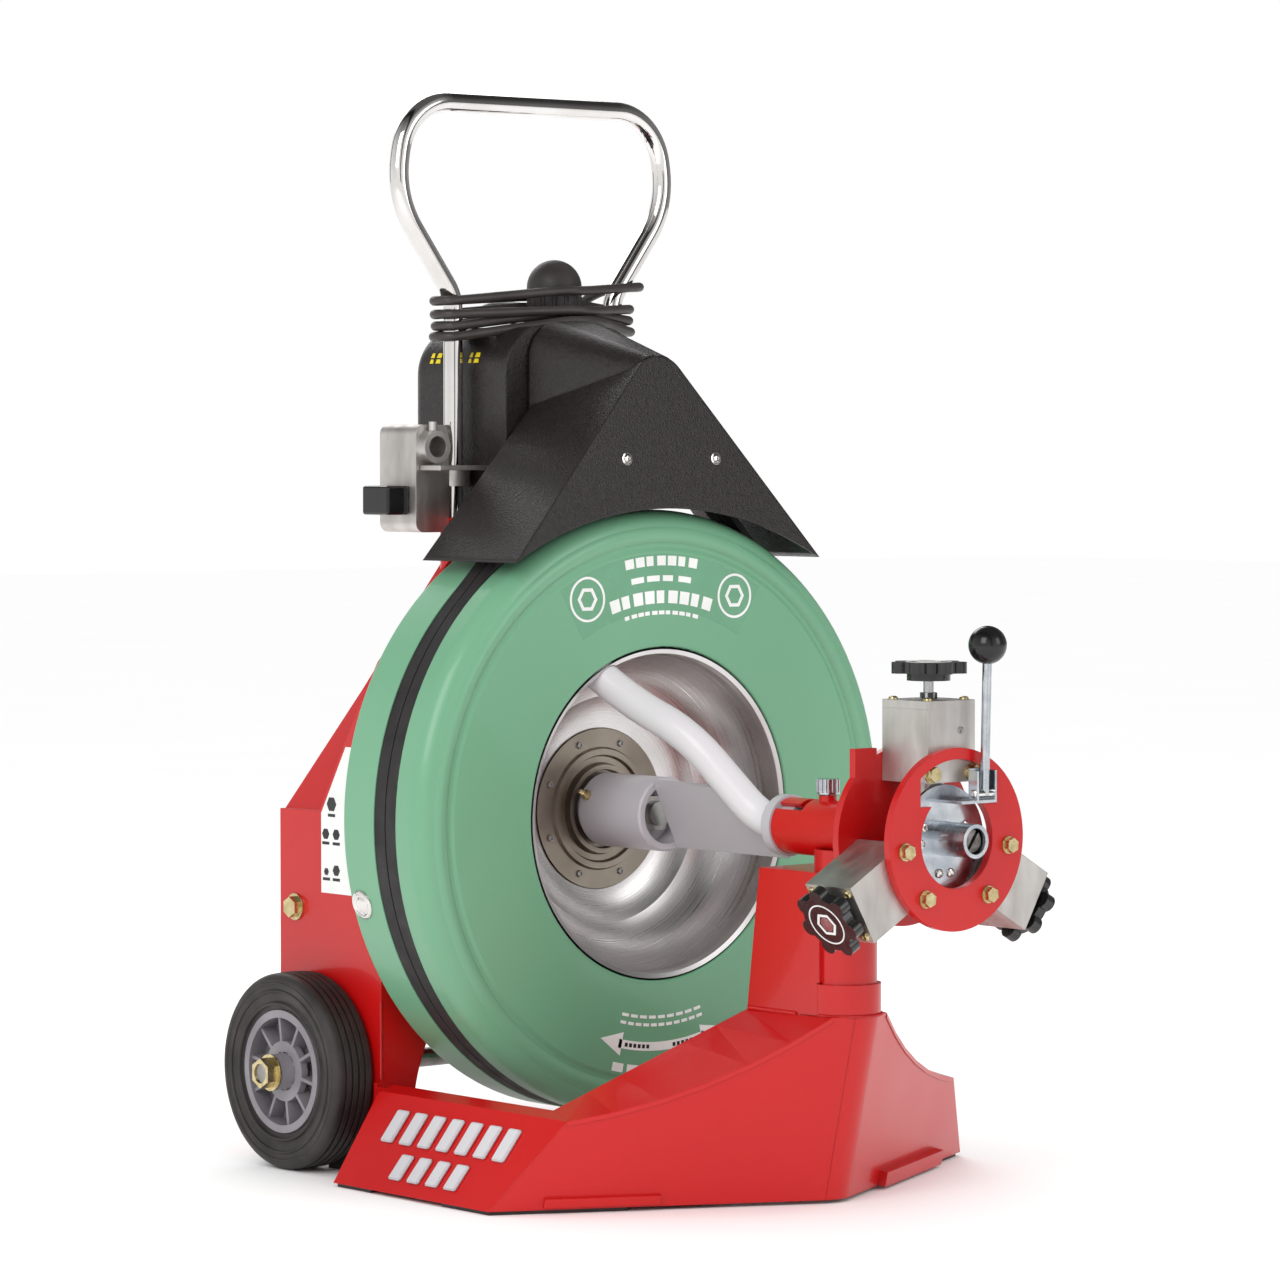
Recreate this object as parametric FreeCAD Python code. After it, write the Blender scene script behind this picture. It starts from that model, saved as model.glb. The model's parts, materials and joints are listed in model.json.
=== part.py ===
"""Drum-type drain snake machine, drawn as separate pieces in millimetres, +Z up.

The drum turns about a line parallel to Y. While drawing, Y is measured from the front edge of
the drive belts; every piece is then moved back by ORIGIN_SHIFT, so the origin of the finished
part lies on the floor under the middle of its footprint. The cable leaves towards -Y.
"""
import FreeCAD
import Part
import math
import os

V = FreeCAD.Vector
X_AXIS = V(1, 0, 0)
Y_AXIS = V(0, 1, 0)
Z_AXIS = V(0, 0, 1)

# ---- driving dimensions -------------------------------------------------------------------
ORIGIN_SHIFT = 88.95
AXIS_Z = 368.3            # height of the drum and cable axis
RUN_FIT = 0.05            # radial clearance of a running fit
GAP = 0.4                 # clearance between pieces that pass each other

DRUM_R = 310.7
DRUM_FACE_Y = -41.0
DRUM_BACK_Y = 88.0
DRUM_MOUTH_R = 171.0
DRUM_SKIN = 2.5
BELT_FLOOR_R = 303.0
BELT_BAND = 35.8          # width of the belt channel
BELT_THICK = 6.6
BELT_WIDE = 16.6

MOTOR_Z = 760.0
MOTOR_R = 75.0
MOTOR_FRONT_Y = 104.0
MOTOR_BACK_Y = 240.0
MOTOR_SHAFT_R = 8.0
PULLEY_FLOOR_R = 28.3

SPINDLE_R = 12.5
BEARING_R = 26.0
BEARING_WIDE = 15.0

GUIDE_ANGLE = 115.0       # direction of the guide tube's plane, from +X towards +Z
GUIDE_TUBE_R = 17.0
GUIDE_BORE_R = 14.5
GUIDE_HUB_R = 38.0
GUIDE_ROUTE = ((18, 190), (-60, 128), (-130, 95), (-198, 0), (-262, 0))   # (y, radius)
CABLE_R = 8.0
CABLE_TIP_R = 11.0
COIL_PITCH = 17.0

POST_Y = -319.0
POST_R = 31.0
SLEEVE_R = 28.0
SLEEVE_Y = (-240.0, -395.9)
THUMB_Y = -293.0
HEAD_R = 88.0
HEAD_PLATE = 8.0
REAR_PLATE_Y = -396.0     # rear face of the rear head plate
FRONT_PLATE_Y = -468.0    # rear face of the front head plate
HEAD_BOLT_PCD_R = 68.5
HEAD_BOLT_R = 3.4
HEAD_HOLE_R = 3.7
HEAD_BOLT_SPREAD = 23.0   # degrees each side of an arm
ARM_Y = -436.0
ARM_HALF = 31.0
ARM_IN = 54.5
ARM_OUT = 125.0
CAP_THICK = 8.0
YOKE_R = 15.0
ROLLER_R = 11.0
ROLLER_WIDE = 16.0
ROLLER_AT = CABLE_R + GAP + ROLLER_R
SCREW_R = 5.0
KNOB_LOBES = 7
KNOB_SUNK = 17.0          # the two lower knobs sit this much nearer the cable
CONTROL_Y = -454.0
NOSE_R = 16.5
NOSE_BORE_R = 12.6
LEVER_X = 25.0
BALL_R = 18.5
BALL_AT = (30.0, -486.0, 554.0)

WHEEL_R = 101.6
WHEEL_Y = 225.0
WHEEL_OUT_X = 291.0
TYRE_WIDE = 48.0
RIM_R = 63.3
AXLE_R = 10.0
AXLE_END = 312.0

SHEET = 5.0
BASE_LOW_Z = 4.0
RAIL_SECTION = ((316, 4), (258, 92), (240, 97), (240, 4))      # outer line, as (x, z)
RAIL_END_Y = 97.0
BASE_CORNER = (314.0, -153.0)   # where the front plates meet the rails, at the floor
PLATE_TOP = (36.0, 188.0)       # ends and middle of the front plate's curved top edge, as (x, z)
PLATE_MID = (125.0, 133.0)
STRIP_TOP = (35.0, -213.0, 186.0)
STRIP_LOW = (240.0, -160.0, 97.0)
STRIP_FACETS = 6          # the strip is slightly twisted, so it is made of narrow flat facets
PROW_R = 35.0
PROW_LOW_Y = -275.0       # centre of the prow's bend at the floor; it leans out towards the post
PROW_TOP_Z = 188.0
TOWER_HALF = 35.0
FOOT_OUT = 312.0
FOOT_IN = 275.0

COLUMN_Y = 117.0          # front face of the column
COLUMN_BACK_Y = 290.0
COLUMN_HALF = 240.0
SIDE_LOW_Z = 20.0
COLUMN_BOLT = (263.0, 266.0)      # (y, z)
ARCH_R = 200.0
ARCH_Z = 50.0
MOUNT_Z = 664.0
MOUNT_THICK = 6.0

COVER_HALF = 90.0
COVER_TOP_Z = 868.0
COVER_CORNER_R = 50.0
COVER_BACK_Y = 262.0
COVER_FRONT_Y = 101.0
COVER_SKIN = 3.0

GUARD_FRONT_Y = -57.0
GUARD_LEAN = 0.103        # the guard's front leans back by this much for each unit of height
GUARD_BACK_Y = 95.0
GUARD_SKIN = 3.0
GUARD_CORNER = (203.0, 628.0)
GUARD_APEX = (26.0, 825.0)
GUARD_RISE = 11.0
GUARD_ARC_R = 312.0
GUARD_ROOM_R = 317.0

LEG_X = 107.0
LEG_Y = 167.0
LEG_R = 10.0
LEG_WALL = 2.0
LEG_LOW_Z = 440.0
LEG_BEND_Z = 899.0
HANDLE_TOP_Z = 1099.0     # centre line of the grip
GUIDE_PLATE_Z = 719.0

BOX_LOW = (-165.0, 155.0, 655.0)
BOX_HIGH = (-122.0, 216.0, 766.0)
CONDUIT_BORE_R = 11.0
CONDUIT_HUB_R = 17.0
CONDUIT_AT = (-148.0, 140.0, 743.0)
PADDLE_AT = (-165.0, 187.0, 688.0)
DOME_AT = (35.0, 175.0)

CORD_R = 5.0
GLAND_Z = 781.0
GLAND_X = 60.0
COIL_Z = (874.0, 900.0)
COIL_BAND = 12.0
COIL_LEGS = ((-LEG_X, 170.0, 27.0), (LEG_X, 170.0, 30.0))      # outer circles, as (x, y, radius)
COIL_DOME = (35.0, 175.0, 45.0)
LEAD_ROUTE = ((60, 290, 781), (60, 337, 781), (60, 370.5, 814.5), (61, 370.5, 861), (64, 338, 893.5),
              (67, 290, 895), (67.2, 240.8, 888), (60, 214.8, 888))
TAIL_ROUTE = ((100, 203.4, 888), (108.2, 232.8, 888), (112, 270, 876), (113, 298, 842), (113, 302, 803),
              (113, 302, 768))


# ---- helpers ------------------------------------------------------------------------------
def save(name, *shapes):
    """Writes one node; several shapes become separate solids of that node."""
    node = shapes[0] if len(shapes) == 1 else Part.makeCompound(list(shapes))
    node.translate(V(0, ORIGIN_SHIFT, 0))
    node.exportStep("parts/" + name + ".step")


def cylinder(radius, start, direction, length):
    return Part.makeCylinder(radius, length, V(*start), direction)


def ring(outer, inner, start, direction, length):
    return cylinder(outer, start, direction, length).cut(cylinder(inner, start, direction, length))


def block(low, high):
    size = [b - a for a, b in zip(low, high)]
    return Part.makeBox(size[0], size[1], size[2], V(*low))


def plate(points, thickness):
    """A flat polygon of 3-D points, pushed out along the vector thickness."""
    corners = [V(*p) for p in points]
    return Part.Face(Part.makePolygon(corners + corners[:1])).extrude(thickness)


def hexagon(across_flats, start, direction, length):
    """A hexagonal bar; across_flats is the spanner size."""
    corner = across_flats / math.sqrt(3)
    turn = FreeCAD.Rotation(Z_AXIS, direction)
    corners = []
    for k in range(7):
        angle = math.radians(60 * k)
        corners.append(V(*start) + turn.multVec(V(corner * math.cos(angle), corner * math.sin(angle), 0)))
    return Part.Face(Part.makePolygon(corners)).extrude(V(direction).multiply(length))


def outline(steps, place):
    """A closed wire. A step is (a, b), a straight line to that point, or (mid, end), an arc."""
    edges = []
    here = steps[0]
    for step in list(steps[1:]) + [steps[0]]:
        if isinstance(step[0], tuple):
            mid, end = step
            edges.append(Part.Arc(place(*here), place(*mid), place(*end)).toShape())
        else:
            end = step
            if end != here:
                edges.append(Part.LineSegment(place(*here), place(*end)).toShape())
        here = end
    return Part.Wire(edges)


def on_drum(radius, y):
    return V(radius, y, AXIS_Z)


def turned(steps):
    """A solid of revolution about the drum axis; the outline is in (radius, y)."""
    return Part.Face(outline(steps, on_drum)).revolve(V(0, 0, AXIS_Z), Y_AXIS, 360)


def swept(points, radius, inner=0.0):
    """A round bar or tube along straight runs joined by tangent arcs."""
    path = fillet_path(points)
    tangent = V(*points[1]).sub(V(*points[0]))
    solid = pipe(path, V(*points[0]), tangent, radius)
    return solid.cut(pipe(path, V(*points[0]), tangent, inner)) if inner else solid


def pipe(path, start, tangent, radius):
    circle = Part.Wire([Part.makeCircle(radius, start, tangent)])
    return path.makePipeShell([circle], True, False)


def fillet_path(points, report=None):
    """Straight runs joined by arcs of 0.45 of the shorter run over the tangent of half the turn."""
    corners = [V(*p) for p in points]
    edges = []
    here = corners[0]
    for before, corner, after in zip(corners, corners[1:], corners[2:]):
        back = before.sub(corner)
        ahead = after.sub(corner)
        turn = math.pi - back.getAngle(ahead)
        reach = 0.45 * min(back.Length, ahead.Length)
        back.normalize()
        ahead.normalize()
        enter = corner + back * reach
        leave = corner + ahead * reach
        radius = reach / math.tan(turn / 2)
        inward = (back + ahead).normalize()
        centre = corner + inward * (radius / math.cos(turn / 2))
        edges.append(Part.LineSegment(here, enter).toShape())
        edges.append(Part.Arc(enter, centre - inward * radius, leave).toShape())
        here = leave
        if report is not None:
            report.append(round(radius, 1))
    edges.append(Part.LineSegment(here, corners[-1]).toShape())
    return Part.Wire(edges)


def largest(shape):
    """The biggest solid of a shape that a cut has left in pieces."""
    return max(shape.Solids, key=lambda solid: solid.Volume)


def mirrored(shape):
    return shape.mirror(V(0, 0, 0), X_AXIS)


def about_drum(shape, angle):
    """Turns a copy about the drum axis; positive takes +Z towards +X."""
    turned_copy = shape.copy()
    turned_copy.rotate(V(0, 0, AXIS_Z), Y_AXIS, angle)
    return turned_copy


def on_guide(y, radius):
    """A point in the guide tube's plane."""
    angle = math.radians(GUIDE_ANGLE)
    return (radius * math.cos(angle), y, AXIS_Z + radius * math.sin(angle))


# ---- base ---------------------------------------------------------------------------------
def front_slope():
    """Tangent of the angle between a front plate and X, seen from above: it touches the bend."""
    x, y = BASE_CORNER
    back = y - PROW_LOW_Y
    return math.tan(math.atan2(back, x) + math.asin(PROW_R / math.hypot(x, back)))


def on_front(x, z):
    """A point on the outer side of the left front plate, x from the middle."""
    lean = (POST_Y - PROW_LOW_Y) / PROW_TOP_Z
    return V(-x, BASE_CORNER[1] - front_slope() * (BASE_CORNER[0] - x) + lean * z, z)


def front_normal():
    """Outward unit normal of the left front plate."""
    across = on_front(0, 0).sub(on_front(100, 0))
    upward = on_front(0, 100).sub(on_front(0, 0))
    return across.cross(upward).normalize()


def base_rail():
    """The left side rail: a folded trapezium tube, open below, with a tongue to the column."""
    wall = SHEET
    (x0, z0), (x1, z1), (x2, z2), (x3, z3) = RAIL_SECTION
    inner = ((x0 - 6.1, z0), (x1 - 1.7, z1 - 6.2), (x2 + wall, z2 - wall - 1), (x3 + wall, z3))
    outer_points = [(-x, -260, z) for x, z in RAIL_SECTION]
    inner_points = [(-x, -261, z) for x, z in inner]
    length = RAIL_END_Y + 260
    rail = plate(outer_points, V(0, length, 0)).cut(plate(inner_points, V(0, length + 2, 0)))
    tongue = block((-x3 - wall, RAIL_END_Y - 1, z3), (-x3, COLUMN_Y, z2 - 4))
    ahead = plate([on_front(500, -20), on_front(0, -20), on_front(0, 250), on_front(500, 250)], V(0, -300, 0))
    return rail.fuse(tongue).cut(ahead)


def base_front():
    """Left front plate, sloping top strip and inner wall, welded as one piece."""
    low = BASE_LOW_Z
    tangent_x = PROW_R * math.sin(math.atan(front_slope()))
    fold = RAIL_SECTION[1]
    curve = Part.Arc(on_front(*PLATE_TOP), on_front(*PLATE_MID), on_front(*fold)).toShape()
    crest = curve.discretize(STRIP_FACETS + 1)
    foot = [on_front(BASE_CORNER[0], low), on_front(tangent_x, low), on_front(tangent_x, PLATE_TOP[1])]
    face = plate(foot + crest, front_normal() * -SHEET)
    top = V(-STRIP_TOP[0], *STRIP_TOP[1:])
    bottom = V(-STRIP_LOW[0], *STRIP_LOW[1:])
    inner = Part.LineSegment(top, bottom).toShape().discretize(STRIP_FACETS + 1)
    down = V(0, 0, -SHEET)
    for k in range(STRIP_FACETS):
        face = face.fuse(plate([crest[k], crest[k + 1], inner[k]], down))
        face = face.fuse(plate([crest[k + 1], inner[k + 1], inner[k]], down))
    under = V(0, 0, 2)
    along = bottom.sub(top)
    thickness = V(-along.y, along.x, 0).normalize() * SHEET
    wall = plate([V(bottom.x, bottom.y, low), V(top.x, top.y, low), top - under, bottom - under], thickness)
    return face.fuse(wall)


def raised_bar(x_out, x_in, low, high, height):
    """A bar that stands proud of the left front plate, low on it."""
    corners = [on_front(x_out, low), on_front(x_in, low), on_front(x_in, high), on_front(x_out, high)]
    inset = front_normal() * -1
    return plate([corner + inset for corner in corners], front_normal() * (height + 1))


def leaning(points):
    """A solid between BASE_LOW_Z and the post's foot, leaning with the prow; points are (x, y)."""
    shift = POST_Y - PROW_LOW_Y
    start = shift * BASE_LOW_Z / PROW_TOP_Z
    rise = V(0, shift - start, PROW_TOP_Z - BASE_LOW_Z)
    return plate([(x, y + start, BASE_LOW_Z) for x, y in points], rise)


def prow():
    """The bend that joins the two front plates, as a leaning part of a tube."""
    shift = POST_Y - PROW_LOW_Y
    centre = V(0, PROW_LOW_Y + shift * BASE_LOW_Z / PROW_TOP_Z, BASE_LOW_Z)
    rise = V(0, POST_Y - centre.y, PROW_TOP_Z - BASE_LOW_Z)
    outer = Part.Face(Part.Wire([Part.makeCircle(PROW_R, centre)])).extrude(rise)
    inner = Part.Face(Part.Wire([Part.makeCircle(PROW_R - SHEET, centre)])).extrude(rise)
    reach = PROW_R * math.cos(math.atan(front_slope()))
    behind = [(-60, PROW_LOW_Y - reach), (60, PROW_LOW_Y - reach), (60, 0), (-60, 0)]
    return outer.cut(inner).cut(leaning(behind))


def tower():
    """The box behind the post that carries the weight of the feed head."""
    side = [(-213, 186), (-231, 328), (POST_Y, 328), (POST_Y, 188)]
    outer = plate([(-TOWER_HALF, y, z) for y, z in side], V(2 * TOWER_HALF, 0, 0))
    hollow = [(-219, 185), (-237, 323), (POST_Y - 1, 323), (POST_Y - 1, 185)]
    half = TOWER_HALF - SHEET
    return outer.cut(plate([(-half, y, z) for y, z in hollow], V(2 * half, 0, 0)))


def post():
    """The upright tube, saddle-cut to the clamp sleeve, with its welded collar."""
    tube = ring(POST_R, POST_R - 5, (0, POST_Y, PROW_TOP_Z), Z_AXIS, 162)
    collar = ring(PROW_R, POST_R - 1, (0, POST_Y, PROW_TOP_Z), Z_AXIS, 31)
    saddle = cylinder(SLEEVE_R + 0.1, (0, -400, AXIS_Z), Y_AXIS, 200)
    return tube.fuse(collar).cut(saddle)


def rubber_feet():
    """Two pads under each rail, of which the front one follows the corner, and a foot at the column."""
    x, y = BASE_CORNER
    end = on_front(190, 0)
    corner = [(-FOOT_OUT, y + 3, 0), (end.x, end.y + 4, 0), (end.x, end.y + 30, 0), (-FOOT_IN, y + 14, 0),
              (-FOOT_IN, y + 78, 0), (-FOOT_OUT, y + 78, 0)]
    front = plate(corner, V(0, 0, BASE_LOW_Z))
    rear = block((-FOOT_OUT, 40, 0), (-FOOT_IN, RAIL_END_Y - 2, BASE_LOW_Z))
    column = block((-COLUMN_HALF, WHEEL_Y - 52, 0), (-COLUMN_HALF + 22, WHEEL_Y - 18, SIDE_LOW_Z))
    feet = []
    for foot in (front, rear, column):
        feet += [foot, mirrored(foot)]
    return feet


def build_base():
    rail = base_rail()
    front = base_front()
    rail = largest(rail.cut(front))
    upright = post().fuse(prow())
    box = tower().cut(cylinder(POST_R + 0.1, (0, POST_Y, 100), Z_AXIS, 400))
    box = box.cut(cylinder(PROW_R + 0.1, (0, POST_Y, PROW_TOP_Z - 1), Z_AXIS, 33))
    front = largest(front.cut(cylinder(PROW_R + 0.1, (0, POST_Y, PROW_TOP_Z), Z_AXIS, 200)))
    save("base_rails", rail, mirrored(rail))
    left = front.fuse(raised_bar(268, 165, 7, 16, 4))
    right = mirrored(front.fuse(raised_bar(240, 88, 5, 20, 9)))
    save("base_front_plates", left, right)
    save("front_tower", upright, box)
    save("rubber_feet", *rubber_feet())


# ---- rear column --------------------------------------------------------------------------
COVER_LINE = ((235, 60), (235, 365), (133, 487), (60, MOUNT_Z))        # (x, z), right half
COVER_INNER = ((235, 60), (235, 360), (129.5, 485.5), (56, MOUNT_Z))
COVER_TOP_Y = 205.0       # the cover's rear slopes forward from its bend up to the motor table
COVER_BEND_Z = 487.0


def symmetric(half):
    """A closed outline from its right half, which runs upwards."""
    return list(half) + [(-x, z) for x, z in reversed(half)]


def arch():
    """The opening under the column, through front and back."""
    crown = cylinder(ARCH_R, (0, 0, ARCH_Z), Y_AXIS, 400)
    return crown.fuse(block((-ARCH_R, 0, -10), (ARCH_R, 400, ARCH_Z)))


def cover_body(line, wall):
    """The rear cover's outer body, or its hollow when a wall thickness is given."""
    start = COLUMN_Y + SHEET
    across = plate([(x, start - wall, z) for x, z in symmetric(line)], V(0, 200, 0))
    side = [(start - wall, 40), (COLUMN_BACK_Y - wall, 40), (COLUMN_BACK_Y - wall, COVER_BEND_Z),
            (COVER_TOP_Y - wall, MOUNT_Z), (start - wall, MOUNT_Z)]
    return across.common(plate([(-300, y, z) for y, z in side], V(600, 0, 0)))


def leg_holes(radius):
    holes = [cylinder(radius, (side * LEG_X, LEG_Y, 400), Z_AXIS, 340) for side in (-1, 1)]
    return holes[0].fuse(holes[1])


def build_column():
    half = ((246, BASE_LOW_Z), (246, 97), (COLUMN_HALF, 97), (COLUMN_HALF, 525), (119, MOUNT_Z))
    front = plate([(x, COLUMN_Y, z) for x, z in symmetric(half)], V(0, SHEET, 0)).cut(arch())
    front = front.cut(cylinder(18.5, (0, 100, AXIS_Z), Y_AXIS, 60))
    side_line = ((COLUMN_Y + SHEET, SIDE_LOW_Z), (COLUMN_BACK_Y, SIDE_LOW_Z), (COLUMN_BACK_Y, 367),
                 (221, 368), (178, 440), (COLUMN_Y + SHEET, 525))
    side = plate([(-COLUMN_HALF, y, z) for y, z in side_line], V(SHEET, 0, 0))
    side = side.cut(cylinder(AXLE_R, (-300, WHEEL_Y, WHEEL_R), X_AXIS, 100))
    side = side.cut(cylinder(6, (-300, *COLUMN_BOLT), X_AXIS, 100))
    save("column_plates", front, side, mirrored(side))
    cover = cover_body(COVER_LINE, 0.0).cut(cover_body(COVER_INNER, 4.0))
    save("column_rear_cover", cover.cut(arch()).cut(leg_holes(14)))
    table = block((-121, COLUMN_Y, MOUNT_Z), (121, COVER_BACK_Y, MOUNT_Z + MOUNT_THICK))
    saddle = block((-52, 122, MOUNT_Z + MOUNT_THICK), (52, 228, 706))
    saddle = saddle.cut(cylinder(MOTOR_R + 0.05, (0, 100, MOTOR_Z), Y_AXIS, 200))
    table = table.fuse(saddle).cut(leg_holes(LEG_R + RUN_FIT))
    start = LEG_LOW_Z - 10
    sockets = [ring(13.5, LEG_R + RUN_FIT, (side * LEG_X, LEG_Y, start), Z_AXIS, MOUNT_Z - start)
               for side in (-1, 1)]
    save("motor_mount", table, *sockets)


def build_fasteners():
    """The bright yellow bolts and nuts of the frame: column bolts and wheel nuts."""
    start = (-COLUMN_HALF, *COLUMN_BOLT)
    head = hexagon(19, start, V(-1, 0, 0), 9)
    washer = ring(14, 6, start, V(-1, 0, 0), 2)
    bolt = head.fuse(washer).fuse(cylinder(6, start, X_AXIS, 14))
    nut = hexagon(27, (-302, WHEEL_Y, WHEEL_R), V(-1, 0, 0), 12).fuse(
        ring(19, AXLE_R, (-300, WHEEL_Y, WHEEL_R), V(-1, 0, 0), 2))
    nut = nut.cut(cylinder(AXLE_R, (-320, WHEEL_Y, WHEEL_R), X_AXIS, 40))
    return [bolt, mirrored(bolt), nut, mirrored(nut)]


# ---- wheels -------------------------------------------------------------------------------
def wheel_place(radius, across):
    return V(-across, WHEEL_Y, WHEEL_R + radius)


def wheel_turned(steps):
    return Part.Face(outline(steps, wheel_place)).revolve(V(0, WHEEL_Y, WHEEL_R), X_AXIS, 360)


def tyre():
    """A semi-pneumatic tyre: nearly square shoulders and four tread grooves."""
    out = WHEEL_OUT_X
    inn = out - TYRE_WIDE
    mid = (out + inn) / 2
    body = wheel_turned((
        (RIM_R + 0.1, inn + 4), (78, inn + 1), (95, inn), ((99.4, inn + 1.8), (WHEEL_R - 0.8, inn + 6)),
        ((WHEEL_R, mid), (WHEEL_R - 0.8, out - 9)), ((98.5, out - 2.8), (92, out)), (80, out - 1),
        (RIM_R + 0.1, out - 5)))
    for offset in (-12, -4, 4, 12):
        groove = wheel_turned(((98.6, mid + offset - 1.3), (103, mid + offset - 1.3),
                               (103, mid + offset + 1.3), (98.6, mid + offset + 1.3)))
        body = body.cut(groove)
    return body


def wheel_hub():
    """The moulded centre: rim, thin web, ten ribs on the outer side and a long boss."""
    out = WHEEL_OUT_X - 3
    inn = WHEEL_OUT_X - TYRE_WIDE + 3
    rim = wheel_turned(((RIM_R, inn), (RIM_R, out), (RIM_R - 8, out), (RIM_R - 5, inn)))
    web = wheel_turned(((18, inn + 16), (RIM_R - 3, inn + 16), (RIM_R - 3, inn + 20), (18, inn + 20)))
    boss = wheel_turned(((AXLE_R + RUN_FIT, inn), (AXLE_R + RUN_FIT, 299.5), (18, 299.5), (21, inn)))
    collar = wheel_turned(((20, out - 12), (31, out - 12), (31, out - 4), (20, out - 4)))
    hub = rim.fuse(web).fuse(boss).fuse(collar)
    for k in range(10):
        rib = block((-out + 4, WHEEL_Y + 17, WHEEL_R - 1.8), (-inn - 18, WHEEL_Y + RIM_R - 3, WHEEL_R + 1.8))
        rib.rotate(V(0, WHEEL_Y, WHEEL_R), X_AXIS, 36 * k + 10)
        hub = hub.fuse(rib)
    return hub


def build_wheels():
    rubber = tyre()
    centre = wheel_hub()
    save("tyre_left", rubber.copy())
    save("tyre_right", mirrored(rubber))
    save("wheel_hub_left", centre.copy())
    save("wheel_hub_right", mirrored(centre))
    axle = cylinder(AXLE_R, (-AXLE_END, WHEEL_Y, WHEEL_R), X_AXIS, 2 * AXLE_END)
    for side in (-1, 1):
        sleeve = ring(14, AXLE_R - 0.5, (side * 220 - 15, WHEEL_Y, WHEEL_R), X_AXIS, 30)
        axle = axle.fuse(sleeve)
    save("wheel_axle", axle)
    save("frame_bolts", *build_fasteners())


# ---- drum ---------------------------------------------------------------------------------
def build_drum():
    skin = DRUM_SKIN
    face = DRUM_FACE_Y
    back = DRUM_BACK_Y
    r = DRUM_R
    front = turned((
        (r, 0), (r, face + 24), ((r - 5, face + 8), (r - 17, face + 1)),
        ((r - 25, face - 2), (r - 34, face + 2)), (r - 38, face + 2), (r - 42, face),
        (DRUM_MOUTH_R + 3, face), ((DRUM_MOUTH_R, face + 1), (DRUM_MOUTH_R, face + 4)),
        (DRUM_MOUTH_R + skin, face + 4), (DRUM_MOUTH_R + 3, face + skin), (r - 43, face + skin),
        (r - 39, face + skin + 2), (r - 34, face + skin + 2),
        ((r - 25, face + skin - 2), (r - 18, face + skin + 1)),
        ((r - 7.5, face + 9.5), (r - skin, face + 24)), (r - skin, 0)))
    save("drum_front_shell", front)
    rear = turned((
        (r, BELT_BAND), (r, back - 5), ((r - 1.5, back - 1.5), (r - 5, back)), (36, back), (36, back - skin),
        (r - 5, back - skin), ((r - 3.2, back - 3.2), (r - skin, back - 5)), (r - skin, BELT_BAND + skin),
        (BELT_FLOOR_R, BELT_BAND + skin), (BELT_FLOOR_R - skin, BELT_BAND + skin),
        (BELT_FLOOR_R - skin, -skin), (r - skin - 0.1, -skin), (r - skin - 0.1, 0), (BELT_FLOOR_R, 0),
        (BELT_FLOOR_R, BELT_BAND)))
    save("drum_rear_shell", rear)
    barrel = ring(34, BEARING_R, (0, 66, AXIS_Z), Y_AXIS, 37)
    flange = ring(64, 33, (0, back, AXIS_Z), Y_AXIS, 6)
    keeper = ring(BEARING_R + 1, 22, (0, 81.2, AXIS_Z), Y_AXIS, 6.6)
    hub = barrel.fuse(flange).fuse(keeper)
    for k in range(6):
        bolt = hexagon(13, (52, back + 6, AXIS_Z), Y_AXIS, 6)
        hub = hub.fuse(about_drum(bolt, 60 * k))
    save("drum_hub", hub)
    races = []
    for y in (66, 88):
        outer = ring(BEARING_R, BEARING_R - 4, (0, y, AXIS_Z), Y_AXIS, BEARING_WIDE)
        inner = ring(SPINDLE_R + 4, SPINDLE_R + RUN_FIT, (0, y, AXIS_Z), Y_AXIS, BEARING_WIDE)
        shield = ring(BEARING_R - 4, SPINDLE_R + 4, (0, y + 3, AXIS_Z), Y_AXIS, BEARING_WIDE - 6)
        races.append(outer.fuse(inner).fuse(shield))
    save("drum_bearings", *races)
    turns = []
    for row in range(2):
        for column in range(6):
            centre = V(0, -22 + COIL_PITCH * column, AXIS_Z)
            turns.append(Part.makeTorus(290 - COIL_PITCH * row, CABLE_R, centre, Y_AXIS))
    save("cable_coil", *turns)


def build_spindle():
    shaft = cylinder(SPINDLE_R, (0, -38, AXIS_Z), Y_AXIS, 190)
    shoulder = cylinder(18.0, (0, 104, AXIS_Z), Y_AXIS, 30)
    flange = cylinder(50, (0, 107, AXIS_Z), Y_AXIS, COLUMN_Y - 107)
    nut = hexagon(36, (0, -33, AXIS_Z), Y_AXIS, 13)
    back_nut = hexagon(46, (0, 122.2, AXIS_Z), Y_AXIS, 14)
    save("drum_spindle", shaft.fuse(shoulder).fuse(flange).fuse(nut).fuse(back_nut))


def belt(y):
    """A closed belt round the drum and the motor pulley."""
    loops = []
    for depth in (BELT_THICK, 0.0):
        drum_r = BELT_FLOOR_R + GAP + depth
        motor_r = PULLEY_FLOOR_R + GAP + depth
        lean = math.acos((drum_r - motor_r) / (MOTOR_Z - AXIS_Z))
        steps = (
            (drum_r * math.sin(lean), AXIS_Z + drum_r * math.cos(lean)),
            (motor_r * math.sin(lean), MOTOR_Z + motor_r * math.cos(lean)),
            ((0, MOTOR_Z + motor_r), (-motor_r * math.sin(lean), MOTOR_Z + motor_r * math.cos(lean))),
            (-drum_r * math.sin(lean), AXIS_Z + drum_r * math.cos(lean)),
            ((0, AXIS_Z - drum_r), (drum_r * math.sin(lean), AXIS_Z + drum_r * math.cos(lean))))
        wire = outline(steps[:4] + (steps[4],), lambda x, z: V(x, y, z))
        loops.append(Part.Face(wire).extrude(V(0, BELT_WIDE, 0)))
    return loops[0].cut(loops[1])


# ---- guide: bowl, hub, arm and tube --------------------------------------------------------
def guide_path_points():
    return [on_guide(y, radius) for y, radius in GUIDE_ROUTE]


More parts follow.
